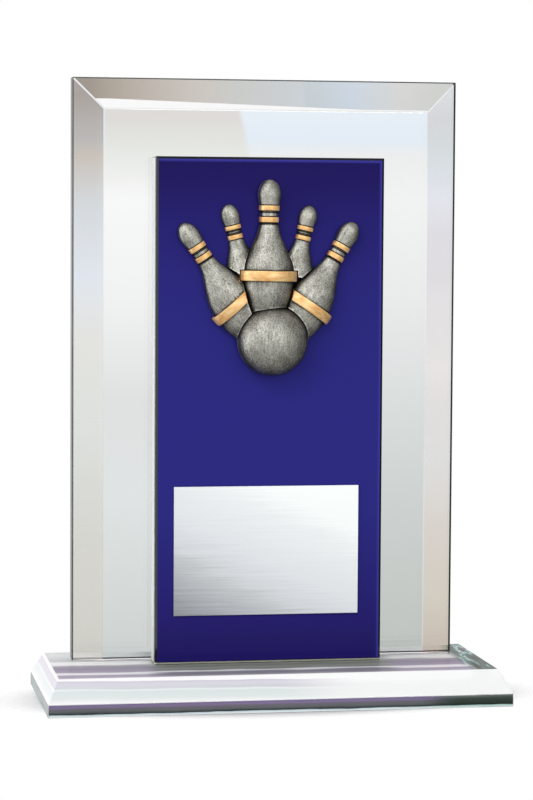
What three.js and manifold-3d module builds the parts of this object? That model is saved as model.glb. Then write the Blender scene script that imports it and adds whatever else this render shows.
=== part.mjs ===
// Bowling trophy: a bevelled glass plate and a clear riser with a blue glass face stand on a
// bevelled glass base. A cast emblem of five pins and a ball, and an engraving plate, are stuck
// on the blue face. Millimetres, +Z up, front towards -Y, origin under the middle of the base.
import * as THREE from 'three';
import { ConvexGeometry } from 'three/addons/geometries/ConvexGeometry.js';
import { mergeVertices } from 'three/addons/utils/BufferGeometryUtils.js';
import Module from 'manifold-3d';

const wasm = await Module();
wasm.setup();

// ---- Driving dimensions ----

const GAP = 0.3; // room between glued or cut pieces
const FILM = 0.2; // thickness of a clear adhesive film, in the middle of its gap
const FILM_INSET = 0.6; // how far a film stops short of the edges around it

const BASE = { width: 158, depth: 67, height: 12, sideHeight: 4.5, endBevel: 4, faceBevel: 5.8 };
const PLATE = { width: 134, height: 200, thickness: 8, bevelWidth: 10.7, bevelDrop: 2.4 };
const PLATE_FRONT_Y = 6; // the plate's front face, measured from the middle of the base
const PANEL = { width: 78.8, height: 173.1, centreX: -0.45 }; // outline shared by riser and blue face
const RISER_THICKNESS = 8;
const BLUE_THICKNESS = 2.2;
const BLUE_CHAMFER = 0.8;
const ENGRAVING = { width: 64.1, height: 44.3, thickness: 0.5, centreX: -1.5, bottomZ: 28.95 };

const EMBLEM = { x: -0.3, z: 123.2 }; // centre of the ball
const EMBLEM_TAPE = { width: 8, height: 34, thickness: 0.4, bottom: -8 };
const TAPE_GAP = 0.5;
const BALL = { radius: 11.9, standOff: 4.5, dome: 8.2 };

// A ten-pin, from its base up: the widths of the head, neck, belly and foot, and the belts.
const PIN = {
  height: 48.45,
  headRadius: 3.75,
  headZ: 43.1,
  body: [
    [5.7, 2.9], [7.5, 7.6], [8.3, 11.4], [8.6, 15.2], [7.9, 20.1], [6.3, 24.4], [3.85, 29.9], [2.95, 34.3],
    [2.9, 36.4], [3.15, 39],
  ],
  footRadius: 4.8,
};
const BELLY_BAND = { low: 14, high: 17.5, radius: 9.75 };
const NECK_BANDS = [
  { name: 'upper', low: 37.9, high: 39.6, radius: 3.25 },
  { name: 'lower', low: 33.9, high: 35.7, radius: 3.1 },
];
const NECK_BAND_THICKNESS = 0.5;

// Where each pin's foot sits from the ball's centre, how it leans (degrees, to the right), its
// size against the centre pin, how far its widest line stands off the back, how far its round
// front is flattened, and the height up to which it is lost behind the pins in front. A belt may
// sit lower than the centre pin's and may slant across its pin (degrees).
const CENTRE = { width: 1, length: 1, standOff: 3.6, flat: 0.7, belly: true, hidden: 0 };
const OUTER = { width: 0.93, length: 0.98, standOff: 2, flat: 0.6, belly: true, hidden: 0 };
const INNER = { width: 0.84, length: 0.83, standOff: 0.8, flat: 0.6, belly: false, hidden: 15.5 };
const PINS = [ // from the front of the fan to its back
  { ...CENTRE, name: 'centre', x: -1.85, z: 6.2, lean: 0.9, beltDrop: 0, beltSlant: 0 },
  { ...OUTER, name: 'left_outer', x: -4.6, z: 0, lean: -33.9, beltDrop: 0.8, beltSlant: -8 },
  { ...OUTER, name: 'right_outer', x: 4.9, z: -1, lean: 29.9, beltDrop: 0.8, beltSlant: 4 },
  { ...INNER, name: 'left_inner', x: -5.6, z: 7.1, lean: -14.1 },
  { ...INNER, name: 'right_inner', x: 4.4, z: 6.7, lean: 12.8 },
];

const AROUND = 20; // facets around a pin
const PROFILE_STEPS = 2; // profile points for each control point
const REACH = 60; // longer than any piece of the emblem
const OVERCUT = 1; // how far a cutter runs out behind the emblem's flat back

// ---- Heights and depths worked out from the driving dimensions ----

const STAND_Z = BASE.height + GAP; // where the plate and the riser stand
const RISER_BACK_Y = PLATE_FRONT_Y - GAP;
const RISER_FRONT_Y = RISER_BACK_Y - RISER_THICKNESS;
const BLUE_BACK_Y = RISER_FRONT_Y - GAP;
const FACE_Y = BLUE_BACK_Y - BLUE_THICKNESS; // the blue face that carries the emblem

// ---- Materials ----

function material(color, roughness, metalness, opacity = 1) {
  return new THREE.MeshStandardMaterial({ color, roughness, metalness, opacity, transparent: opacity < 1 });
}

const clearGlass = () => material(0xe2ece9, 0.03, 0, 0.35);
const blueGlass = () => material(0x28256f, 0.05, 0);
const clearAdhesive = () => material(0xeef2f0, 0.1, 0, 0.3);
const brushedAluminium = () => material(0xc3c7ca, 0.35, 1);
const antiqueSilver = () => material(0x85847c, 0.45, 0.6);
const goldPaint = () => material(0xdca659, 0.35, 0.6);
const whiteFoam = () => material(0xe8e8e4, 0.9, 0);

// ---- Solids ----

function toSolid(geometry) {
  geometry.deleteAttribute('normal');
  geometry.deleteAttribute('uv');
  const merged = mergeVertices(geometry, 1e-5);
  return new wasm.Manifold(new wasm.Mesh({
    numProp: 3,
    vertProperties: Float32Array.from(merged.attributes.position.array),
    triVerts: Uint32Array.from(merged.index.array),
  }));
}

function toGeometry(solid) {
  const mesh = solid.getMesh();
  const geometry = new THREE.BufferGeometry();
  geometry.setAttribute('position', new THREE.BufferAttribute(mesh.vertProperties, 3));
  geometry.setIndex(new THREE.BufferAttribute(mesh.triVerts, 1));
  geometry.computeVertexNormals();
  return geometry;
}

function box(width, depth, height) {
  return new THREE.BoxGeometry(width, depth, height);
}

// A rectangle's four corners at one level, laid out by `place(across, along)`.
function corners(halfAcross, lowAlong, highAlong, place) {
  return [-halfAcross, halfAcross].flatMap((across) => [place(across, lowAlong), place(across, highAlong)]);
}

// ---- Glass ----

// The base: upright sides, then a bevel on all four top edges.
function baseGeometry() {
  const { width, depth, height, sideHeight, endBevel, faceBevel } = BASE;
  const halfDepth = depth / 2;
  const at = (z) => (x, y) => new THREE.Vector3(x, y, z);
  return new ConvexGeometry([
    ...corners(width / 2, -halfDepth, halfDepth, at(0)),
    ...corners(width / 2, -halfDepth, halfDepth, at(sideHeight)),
    ...corners(width / 2 - endBevel, -halfDepth + faceBevel, halfDepth - faceBevel, at(height)),
  ]);
}

// The upright plate: a wide bevel on the front's top and sides, none at the foot.
function plateGeometry() {
  const { width, height, thickness, bevelWidth, bevelDrop } = PLATE;
  const at = (y) => (x, z) => new THREE.Vector3(x, y, z);
  return new ConvexGeometry([
    ...corners(width / 2, 0, height, at(thickness)),
    ...corners(width / 2, 0, height, at(bevelDrop)),
    ...corners(width / 2 - bevelWidth, 0, height - bevelWidth, at(0)),
  ]);
}

// The blue face: a thin sheet with all four front edges chamfered.
function blueGeometry() {
  const at = (y) => (x, z) => new THREE.Vector3(x, y, z);
  const halfWidth = PANEL.width / 2;
  return new ConvexGeometry([
    ...corners(halfWidth, 0, PANEL.height, at(BLUE_THICKNESS)),
    ...corners(halfWidth, 0, PANEL.height, at(BLUE_CHAMFER)),
    ...corners(halfWidth - BLUE_CHAMFER, BLUE_CHAMFER, PANEL.height - BLUE_CHAMFER, at(0)),
  ]);
}

// ---- Pins, bands and ball, in the emblem's own frame ----
// Its origin is the ball's centre on the flat back: x right, z up, front towards -y.

// The profile of a pin's right side, from the middle of the foot to the tip of the head.
function pinProfile(pin, grow) {
  const at = ([radius, z]) => new THREE.Vector2(radius * pin.width + grow, z * pin.length);
  const headHeight = (PIN.height - PIN.headZ) * pin.length + grow;
  const path = new THREE.Path();
  path.moveTo(0, -grow);
  path.lineTo(PIN.footRadius * pin.width + grow, -grow);
  path.splineThru([...PIN.body, [PIN.headRadius, PIN.headZ]].map(at));
  path.absellipse(0, PIN.headZ * pin.length, PIN.headRadius * pin.width + grow, headHeight, 0, Math.PI / 2);
  const points = path.getPoints(PROFILE_STEPS);
  points.at(-1).x = 0;
  return points;
}

// A short drum's profile, for a band that goes round a pin, or for a slice of its core.
function drumProfile(radius, low, high) {
  return [[0, low], [radius, low], [radius, high], [0, high]].map(([x, z]) => new THREE.Vector2(x, z));
}

// Turns a profile into a relief: flattened and round in front of its widest line, and straight
// from there to the back. `forward` is how far the straight part starts in front of that line.
function relief(profile, { standOff, flat }, forward = 0) {
  const round = new THREE.LatheGeometry(profile, AROUND).rotateX(Math.PI / 2);
  round.scale(1, flat, 1).translate(0, -standOff, 0);
  const rightSide = profile.filter((point) => point.x > 0);
  const leftSide = rightSide.map((point) => new THREE.Vector2(-point.x, point.y)).reverse();
  const outline = new THREE.Shape([...rightSide, profile.at(-1), ...leftSide]);
  const depth = standOff + forward;
  const straight = new THREE.ExtrudeGeometry(outline, { depth, bevelEnabled: false });
  straight.rotateX(Math.PI / 2);
  const behind = toSolid(box(REACH * 2, REACH, REACH * 3).translate(0, REACH / 2, 0));
  return toSolid(round).add(toSolid(straight)).subtract(behind);
}

// Stands a solid made on the pin's own axis where the pin stands in the fan.
function stand(solid, pin) {
  return solid.rotate([0, pin.lean, 0]).translate([pin.x, 0, pin.z]);
}

// A pin's body, without the foot that no one sees.
function pinBody(pin) {
  const body = relief(pinProfile(pin, 0), pin);
  if (!pin.hidden) return body;
  return body.subtract(relief(drumProfile(REACH, -REACH, pin.hidden), pin, REACH).translate([0, OVERCUT, 0]));
}

function neckBandsOf(pin) {
  return NECK_BANDS.map(({ name, low, high, radius }) => ({
    name,
    low: low * pin.length,
    high: high * pin.length,
    radius: radius * pin.width,
  }));
}

// A groove round the neck, and the gold ring that lies in it with room on three sides.
function neckGroove(pin, band) {
  const floor = band.radius - NECK_BAND_THICKNESS - GAP;
  const open = relief(drumProfile(band.radius + 1, band.low - GAP, band.high + GAP), pin);
  return open.subtract(relief(drumProfile(floor, band.low - 1, band.high + 1), pin));
}

function neckRing(pin, band) {
  const inner = band.radius - NECK_BAND_THICKNESS;
  const ring = relief(drumProfile(band.radius, band.low, band.high), pin);
  return ring.subtract(relief(drumProfile(inner, band.low - 1, band.high + 1), pin));
}

// The drum that a pin's belly band is cut from, slanted about its own middle.
function bellyDrum(pin, grow, forward) {
  const middle = (BELLY_BAND.low + BELLY_BAND.high) / 2 * pin.length - pin.beltDrop;
  const half = (BELLY_BAND.high - BELLY_BAND.low) / 2 * pin.length + grow;
  const drum = relief(drumProfile(BELLY_BAND.radius * pin.width + grow, -half, half), pin, forward);
  return drum.rotate([0, pin.beltSlant, 0]).translate([0, 0, middle]);
}

// What a pin takes away from the pieces behind it: its outline and its belly band's, right
// through the emblem, with the gap all round.
function shadowOf(pin) {
  const body = relief(pinProfile(pin, GAP), pin, REACH);
  const outline = pin.belly ? body.add(bellyDrum(pin, GAP, REACH)) : body;
  return stand(outline.translate([0, OVERCUT, 0]), pin);
}

function ballSolid(grow, overcut) {
  const radius = BALL.radius + grow;
  const dome = new THREE.SphereGeometry(radius, 36, 18).rotateX(Math.PI / 2);
  dome.scale(1, (BALL.dome + grow) / radius, 1).translate(0, -BALL.standOff, 0);
  const side = new THREE.CylinderGeometry(radius, radius, BALL.standOff + overcut, 36);
  side.translate(0, (overcut - BALL.standOff) / 2, 0);
  const behind = toSolid(box(REACH, REACH, REACH).translate(0, REACH / 2 + overcut, 0));
  return toSolid(dome).add(toSolid(side)).subtract(behind);
}

function addMesh(group, name, geometry, finish) {
  const mesh = new THREE.Mesh(geometry, finish);
  mesh.name = name;
  group.add(mesh);
  return mesh;
}

// One pin with its bands, each cut by everything that lies in front of it.
function addPin(group, pin, inFront) {
  const cut = (solid) => inFront.reduce((left, front) => left.subtract(front), stand(solid, pin));
  const bands = neckBandsOf(pin);
  const body = bands.reduce((left, band) => left.subtract(neckGroove(pin, band)), pinBody(pin));
  addMesh(group, `${pin.name}_pin`, toGeometry(cut(body)), antiqueSilver());
  bands.forEach((band) => {
    addMesh(group, `${pin.name}_${band.name}_neck_band`, toGeometry(cut(neckRing(pin, band))), goldPaint());
  });
  if (pin.belly) {
    const band = bellyDrum(pin, 0, 0).subtract(relief(pinProfile(pin, GAP), pin));
    addMesh(group, `${pin.name}_belly_band`, toGeometry(cut(band)), goldPaint());
  }
}

function emblemGroup() {
  const group = new THREE.Group();
  const inFront = [ballSolid(GAP, OVERCUT)];
  for (const pin of PINS) {
    addPin(group, pin, inFront);
    inFront.push(shadowOf(pin));
  }
  addMesh(group, 'ball', toGeometry(ballSolid(0, 0)), antiqueSilver());
  group.position.set(EMBLEM.x, FACE_Y - TAPE_GAP, EMBLEM.z);
  return group;
}

// ---- Assembly ----

function addGlass(group) {
  addMesh(group, 'base_slab', baseGeometry(), clearGlass());
  addMesh(group, 'back_plate', plateGeometry(), clearGlass()).position.set(0, PLATE_FRONT_Y, STAND_Z);
  const riser = addMesh(group, 'riser', box(PANEL.width, RISER_THICKNESS, PANEL.height), clearGlass());
  riser.position.set(PANEL.centreX, RISER_BACK_Y - RISER_THICKNESS / 2, STAND_Z + PANEL.height / 2);
  addMesh(group, 'blue_face', blueGeometry(), blueGlass()).position.set(PANEL.centreX, FACE_Y, STAND_Z);
}

// A film fills the middle of a gap and stops short of the two faces' edges.
function addUprightFilm(group, name, finish, [width, height], [x, gapBackY, bottomZ]) {
  const film = box(width - 2 * FILM_INSET, FILM, height - 2 * FILM_INSET);
  addMesh(group, name, film, finish).position.set(x, gapBackY - GAP / 2, bottomZ + height / 2);
}

function addFlatFilm(group, name, [width, depth], [x, y]) {
  const film = box(width - 2 * FILM_INSET, depth - 2 * FILM_INSET, FILM);
  addMesh(group, name, film, clearAdhesive()).position.set(x, y, BASE.height + GAP / 2);
}

function addAdhesives(group) {
  const panelSize = [PANEL.width, PANEL.height];
  const plateMiddleY = PLATE_FRONT_Y + PLATE.thickness / 2;
  const riserMiddleY = RISER_BACK_Y - RISER_THICKNESS / 2;
  addFlatFilm(group, 'plate_to_base_film', [PLATE.width, PLATE.thickness], [0, plateMiddleY]);
  addFlatFilm(group, 'riser_to_base_film', [PANEL.width, RISER_THICKNESS], [PANEL.centreX, riserMiddleY]);
  addUprightFilm(group, 'riser_to_plate_film', clearAdhesive(), panelSize, [PANEL.centreX, PLATE_FRONT_Y, STAND_Z]);
  addUprightFilm(group, 'blue_face_film', clearAdhesive(), panelSize, [PANEL.centreX, RISER_FRONT_Y, STAND_Z]);
}

function addEngravingPlate(group) {
  const { width, height, thickness, centreX, bottomZ } = ENGRAVING;
  addUprightFilm(group, 'engraving_plate_tape', whiteFoam(), [width, height], [centreX, FACE_Y, bottomZ]);
  const plate = addMesh(group, 'engraving_plate', box(width, thickness, height), brushedAluminium());
  plate.position.set(centreX, FACE_Y - GAP - thickness / 2, bottomZ + height / 2);
}

function addEmblemTape(group) {
  const { width, height, thickness, bottom } = EMBLEM_TAPE;
  const tape = addMesh(group, 'emblem_tape', box(width, thickness, height), whiteFoam());
  tape.position.set(EMBLEM.x, FACE_Y - TAPE_GAP / 2, EMBLEM.z + bottom + height / 2);
}

function bowlingTrophy() {
  const trophy = new THREE.Group();
  addGlass(trophy);
  addAdhesives(trophy);
  addEngravingPlate(trophy);
  addEmblemTape(trophy);
  trophy.add(emblemGroup());
  return trophy;
}

export default bowlingTrophy();
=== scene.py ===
"""Bowling trophy: a bevelled glass plate and a glass riser with a blue glass face, on a glass base.

A cast emblem of five pins and a ball and a brushed engraving plate are stuck on the blue face.
Metres, +Z up, front towards -Y, origin under the middle of the base.
"""

import logging
import math
from collections.abc import Callable, Sequence
from dataclasses import dataclass, field
from enum import Enum, IntEnum

import bmesh
import bpy
from mathutils import Matrix, Vector
from mathutils.bvhtree import BVHTree


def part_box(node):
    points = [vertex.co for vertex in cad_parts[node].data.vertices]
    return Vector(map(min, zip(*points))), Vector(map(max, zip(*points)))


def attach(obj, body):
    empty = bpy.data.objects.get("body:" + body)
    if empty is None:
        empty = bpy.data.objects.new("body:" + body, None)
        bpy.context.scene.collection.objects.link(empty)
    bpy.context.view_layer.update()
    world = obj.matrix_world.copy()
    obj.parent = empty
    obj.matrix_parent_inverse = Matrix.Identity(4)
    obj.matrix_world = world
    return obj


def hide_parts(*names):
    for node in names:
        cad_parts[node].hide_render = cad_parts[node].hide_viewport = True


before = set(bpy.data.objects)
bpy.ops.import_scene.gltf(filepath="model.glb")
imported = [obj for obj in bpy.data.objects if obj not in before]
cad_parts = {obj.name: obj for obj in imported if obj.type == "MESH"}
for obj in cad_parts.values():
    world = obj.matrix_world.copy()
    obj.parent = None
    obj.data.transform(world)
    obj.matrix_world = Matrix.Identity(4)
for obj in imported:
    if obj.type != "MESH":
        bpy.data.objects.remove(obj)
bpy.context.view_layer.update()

log = logging.getLogger("bowling_trophy")

MM = 0.001
Colour = tuple[float, float, float, float]
Ring = tuple[float, float]
Feed = bpy.types.Node | bpy.types.NodeSocket
Look = dict[str, Feed | Colour | float]
Shades = tuple[Feed | None, Feed | None]

GLASS_INDEX = 1.52
FACE_ON = 0.99


# ---- Small tools of the bench ----


def from_hex(code: str) -> Colour:
    """Turns an sRGB hex value into a linear colour.

    Args:
        code: Six hex digits after a hash.

    Returns:
        The linear red, green, blue and an alpha of 1.
    """
    parts = [int(code[i : i + 2], 16) / 255 for i in (1, 3, 5)]
    red, green, blue = (c / 12.92 if c <= 0.04045 else ((c + 0.055) / 1.055) ** 2.4 for c in parts)
    return (red, green, blue, 1.0)


def add_node(tree: bpy.types.NodeTree, kind: str, inputs: dict | None = None, **settings) -> bpy.types.Node:
    """Adds one node with its settings, values and links.

    Args:
        tree: The node tree to add to.
        kind: The node's type name, without its ShaderNode prefix.
        inputs: For each input's name or number, its value, or the output or node that feeds it.
        settings: Properties of the node itself.

    Returns:
        The new node.
    """
    node = tree.nodes.new("ShaderNode" + kind)
    for name, value in settings.items():
        setattr(node, name, value)
    for name, value in (inputs or {}).items():
        if isinstance(value, bpy.types.Node):
            value = next(socket for socket in value.outputs if socket.enabled)
        if isinstance(value, bpy.types.NodeSocket):
            tree.links.new(value, node.inputs[name])
        else:
            node.inputs[name].default_value = value
    return node


def through(code: str) -> Colour:
    """Gives the base colour that lets light of a given look through one glass surface.

    A glass surface lets through the square root of its base colour, so the look is squared here.

    Args:
        code: The look, as an sRGB hex value.

    Returns:
        The linear base colour.
    """
    red, green, blue, _ = from_hex(code)
    return (red * red, green * green, blue * blue, 1.0)


def set_stops(ramp: bpy.types.Node, stops: Sequence[tuple], read: Callable = from_hex) -> bpy.types.Node:
    """Fills a colour ramp.

    Args:
        ramp: The ramp node.
        stops: Each stop's place from 0 to 1 and its colour.
        read: Turns a stop's colour into the linear one.

    Returns:
        The same node.
    """
    elements = ramp.color_ramp.elements
    while len(elements) < len(stops):
        elements.new(1.0)
    for element, (place, colour) in zip(elements, stops):
        element.position = place
        element.color = read(colour)
    return ramp


def draw_out(
        tree: bpy.types.NodeTree, place: Feed, sizes: Sequence[float], detail: float,
        roughness: float = 0.5, slant: float = 0.0) -> bpy.types.Node:
    """Lays an uneven pattern that is drawn out along the axes.

    Args:
        tree: The node tree to add to.
        place: The coordinates in metres.
        sizes: The pattern's size along each axis in mm.
        detail: How many finer layers it has.
        roughness: How strong those layers are.
        slant: How far it is turned about Z, in radians.

    Returns:
        The pattern's node.
    """
    scale = tuple(1 / (size * MM) for size in sizes)
    laid = add_node(tree, "Mapping", {"Vector": place, "Rotation": (0, 0, slant), "Scale": scale})
    return add_node(
        tree, "TexNoise", {"Vector": laid, "Scale": 1.0, "Detail": detail, "Roughness": roughness})


def melt(
        tree: bpy.types.NodeTree, along: Feed, start: float, end: float, first: Feed | Colour,
        second: Feed | Colour) -> bpy.types.Node:
    """Lets one colour melt into another along a line.

    Args:
        tree: The node tree to add to.
        along: The place on the line.
        start: Where the first colour ends.
        end: Where the second is full.
        first: The first colour.
        second: The second colour.

    Returns:
        The node that gives the colour.
    """
    share = add_node(
        tree, "MapRange", {"Value": along, "From Min": start, "From Max": end},
        interpolation_type="SMOOTHSTEP")
    return add_node(tree, "Mix", {"Factor": share, "A": first, "B": second}, data_type="RGBA")


def grey(value: float) -> Colour:
    """Gives a neutral linear colour."""
    return (value, value, value, 1.0)


def deselect_all() -> None:
    """Leaves nothing selected, in object mode."""
    bpy.ops.object.select_all(action="DESELECT")


def take(piece: bpy.types.Object) -> None:
    """Makes one object the only selected one and the active one."""
    deselect_all()
    piece.select_set(True)
    bpy.context.view_layer.objects.active = piece


def edit_mode(on: bool) -> None:
    """Goes into or out of edit mode."""
    bpy.ops.object.mode_set(mode="EDIT" if on else "OBJECT")


def pick(kind: str, test: Callable) -> None:
    """Selects only the parts of the edited mesh that pass a test.

    Args:
        kind: "verts", "edges" or "faces".
        test: Takes one such part and says whether it is wanted.
    """
    mesh = bpy.context.edit_object.data
    bpy.ops.mesh.select_mode(type={"verts": "VERT", "edges": "EDGE", "faces": "FACE"}[kind])
    bpy.ops.mesh.select_all(action="DESELECT")
    shape = bmesh.from_edit_mesh(mesh)
    for part in getattr(shape, kind):
        if test(part):
            part.select_set(True)
    shape.select_flush_mode()
    bmesh.update_edit_mesh(mesh)


def push(offset: Sequence[float]) -> None:
    """Extrudes what is selected by an offset in metres."""
    bpy.ops.mesh.extrude_region_move(TRANSFORM_OT_translate={"value": tuple(offset)})


def scale_about(factors: Sequence[float], centre: Sequence[float]) -> None:
    """Scales what is selected in edit mode about a point."""
    bpy.ops.transform.resize(value=tuple(factors), center_override=tuple(centre))


def settle(piece: bpy.types.Object) -> None:
    """Puts the object's place, turn and scale into its mesh."""
    take(piece)
    bpy.ops.object.transform_apply(location=True, rotation=True, scale=True)


def box_of(node: str) -> tuple[Vector, Vector]:
    """Gives the lowest and highest corner of a CAD node's box."""
    low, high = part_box(node)
    return Vector(low), Vector(high)


def saw_block(name: str, low: Vector, high: Vector) -> bpy.types.Object:
    """Saws a straight block.

    Args:
        name: The new object's name.
        low: Its lowest corner in metres.
        high: Its highest corner in metres.

    Returns:
        The block.
    """
    deselect_all()
    bpy.ops.mesh.primitive_cube_add(size=1, location=(low + high) / 2)
    piece = bpy.context.object
    piece.name = piece.data.name = name
    piece.scale = high - low
    settle(piece)
    return piece


def draw_in(way: Vector, drop: float, factors: Sequence[float], centre: Sequence[float]) -> None:
    """Carries one face of the active block outwards and draws it in, which leaves bevels round it.

    Args:
        way: The direction that the face looks in.
        drop: How far it is carried, in metres.
        factors: How much it is drawn in along each axis.
        centre: The point that it is drawn towards.
    """
    edit_mode(True)
    pick("faces", lambda face: face.normal.dot(way) > 0.9)
    push(way * drop)
    scale_about(factors, centre)
    edit_mode(False)


def dress(piece: bpy.types.Object, finishes: Sequence["Finish"]) -> None:
    """Gives a piece its finishes, one material slot for each."""
    for finish in finishes:
        piece.data.materials.append(finish.make())


def cut_away(piece: bpy.types.Object, cutter: bpy.types.Object) -> None:
    """Cuts one closed mesh out of another.

    Args:
        piece: The mesh that stays.
        cutter: The mesh whose space is taken out. It is kept.
    """
    take(piece)
    modifier = piece.modifiers.new("cut", "BOOLEAN")
    modifier.operation = "DIFFERENCE"
    modifier.solver = "EXACT"
    modifier.object = cutter
    bpy.ops.object.modifier_apply(modifier=modifier.name)


def discard(pieces: Sequence[bpy.types.Object]) -> None:
    """Takes away shapes that only served as cutters."""
    for piece in pieces:
        bpy.data.objects.remove(piece)


def add_arris(piece: bpy.types.Object, width: float, segments: int) -> None:
    """Takes the sharpness off every hard edge, as a wet belt or a file does.

    Args:
        piece: The piece, in object mode.
        width: The width of the arris in metres.
        segments: How many strips it is made of.
    """
    take(piece)
    modifier = piece.modifiers.new("arris", "BEVEL")
    modifier.width = width
    modifier.segments = segments
    modifier.limit_method = "ANGLE"
    modifier.angle_limit = math.radians(5)
    modifier.harden_normals = True
    bpy.ops.object.shade_smooth()
    bpy.ops.object.modifier_apply(modifier=modifier.name)


def finish_piece(piece: bpy.types.Object, replaced: str) -> None:
    """Hands a finished piece to the frame.

    Args:
        piece: The finished piece.
        replaced: The CAD node it stands for.
    """
    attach(piece, "root")
    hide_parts(replaced)
    log.info("%s stands for %s, %d faces", piece.name, replaced, len(piece.data.polygons))


# ---- Finishes ----


@dataclass(frozen=True)
class Finish:
    """What a surface is made of and how it was made."""

    name: str = "finish"

    def look(self, tree: bpy.types.NodeTree) -> Look:
        """Gives the inputs of the material's one shader; each finish has its own."""
        raise NotImplementedError

    def make(self) -> bpy.types.Material:
        """Builds the material.

        Returns:
            The material.
        """
        material = bpy.data.materials.new(self.name)
        material.use_nodes = True
        tree = material.node_tree
        tree.nodes.clear()
        shader = add_node(tree, "BsdfPrincipled", self.look(tree))
        add_node(tree, "OutputMaterial", {"Surface": shader})
        return material


@dataclass(frozen=True)
class FloatGlass(Finish):
    """Soda-lime float glass, cut, ground and polished.

    Clear on its faces, faintly green through its length from the iron in it, with the slight
    unevenness that polishing wheels leave, which makes the lines seen through it waver a little.
    """

    name: str = "float_glass"
    index: float = GLASS_INDEX
    clear_colour: str = "#f6fbf9"
    clear: float = 1.0
    gloss: float = 0.5
    wave_mm: float = 14.0
    haze_top: float = 0.012

    def shades(self, tree: bpy.types.NodeTree, place: bpy.types.NodeSocket) -> Shades:
        """Gives the surface's colour and how clear it is, each None where it is like the rest."""
        return None, None

    def look(self, tree: bpy.types.NodeTree) -> Look:
        """Gives the clear glass its polish and its shades.

        Args:
            tree: The material's node tree.

        Returns:
            The shader's inputs.
        """
        place = add_node(tree, "TexCoord").outputs["Object"]
        wave = add_node(
            tree, "TexNoise", {"Vector": place, "Scale": 1 / (self.wave_mm * MM), "Detail": 1.0})
        bump = add_node(tree, "Bump", {"Height": wave, "Strength": 0.04, "Distance": 0.2 * MM})
        haze = add_node(tree, "TexNoise", {"Vector": place, "Scale": 1 / (3 * MM), "Detail": 3.0})
        rough = add_node(tree, "MapRange", {"Value": haze, "To Min": 0.0, "To Max": self.haze_top})
        colour, clarity = self.shades(tree, place)
        return {
            "Base Color": colour or from_hex(self.clear_colour),
            "Transmission Weight": clarity or self.clear, "IOR": self.index,
            "Specular IOR Level": self.gloss, "Roughness": rough, "Normal": bump}


# The bevel's painted reflections and shade, from the foot up and from left to right.
LEFT_BEVEL_PAINTED_REFLECTIONS = (
    (0.0, "#fffcf8"), (0.2, "#fcfaf6"), (0.4, "#fafbf8"), (0.55, "#f8f8f4"), (0.66, "#f0f6fc"),
    (0.78, "#dde3e6"), (0.86, "#d5cfc6"), (0.91, "#c9bfb4"), (0.97, "#b4a79c"))
RIGHT_BEVEL_PAINTED_REFLECTIONS = (
    (0.02, "#f6e6d8"), (0.1, "#faf2e6"), (0.22, "#f8efe8"), (0.34, "#fbfaf9"), (0.5, "#fffdfc"),
    (0.66, "#e9e8ea"), (0.74, "#e6e6eb"), (0.84, "#ebf1f8"), (0.97, "#f6fbff"))
TOP_BEVEL_PAINTED_REFLECTIONS = (
    (0.04, "#b2a89c"), (0.12, "#c8beb0"), (0.2, "#d6cec3"), (0.33, "#e6e0d8"), (0.42, "#e4e6e2"),
    (0.55, "#e4eaec"), (0.72, "#ecf4ff"), (0.86, "#f6f4f2"), (0.97, "#efefea"))


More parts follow.
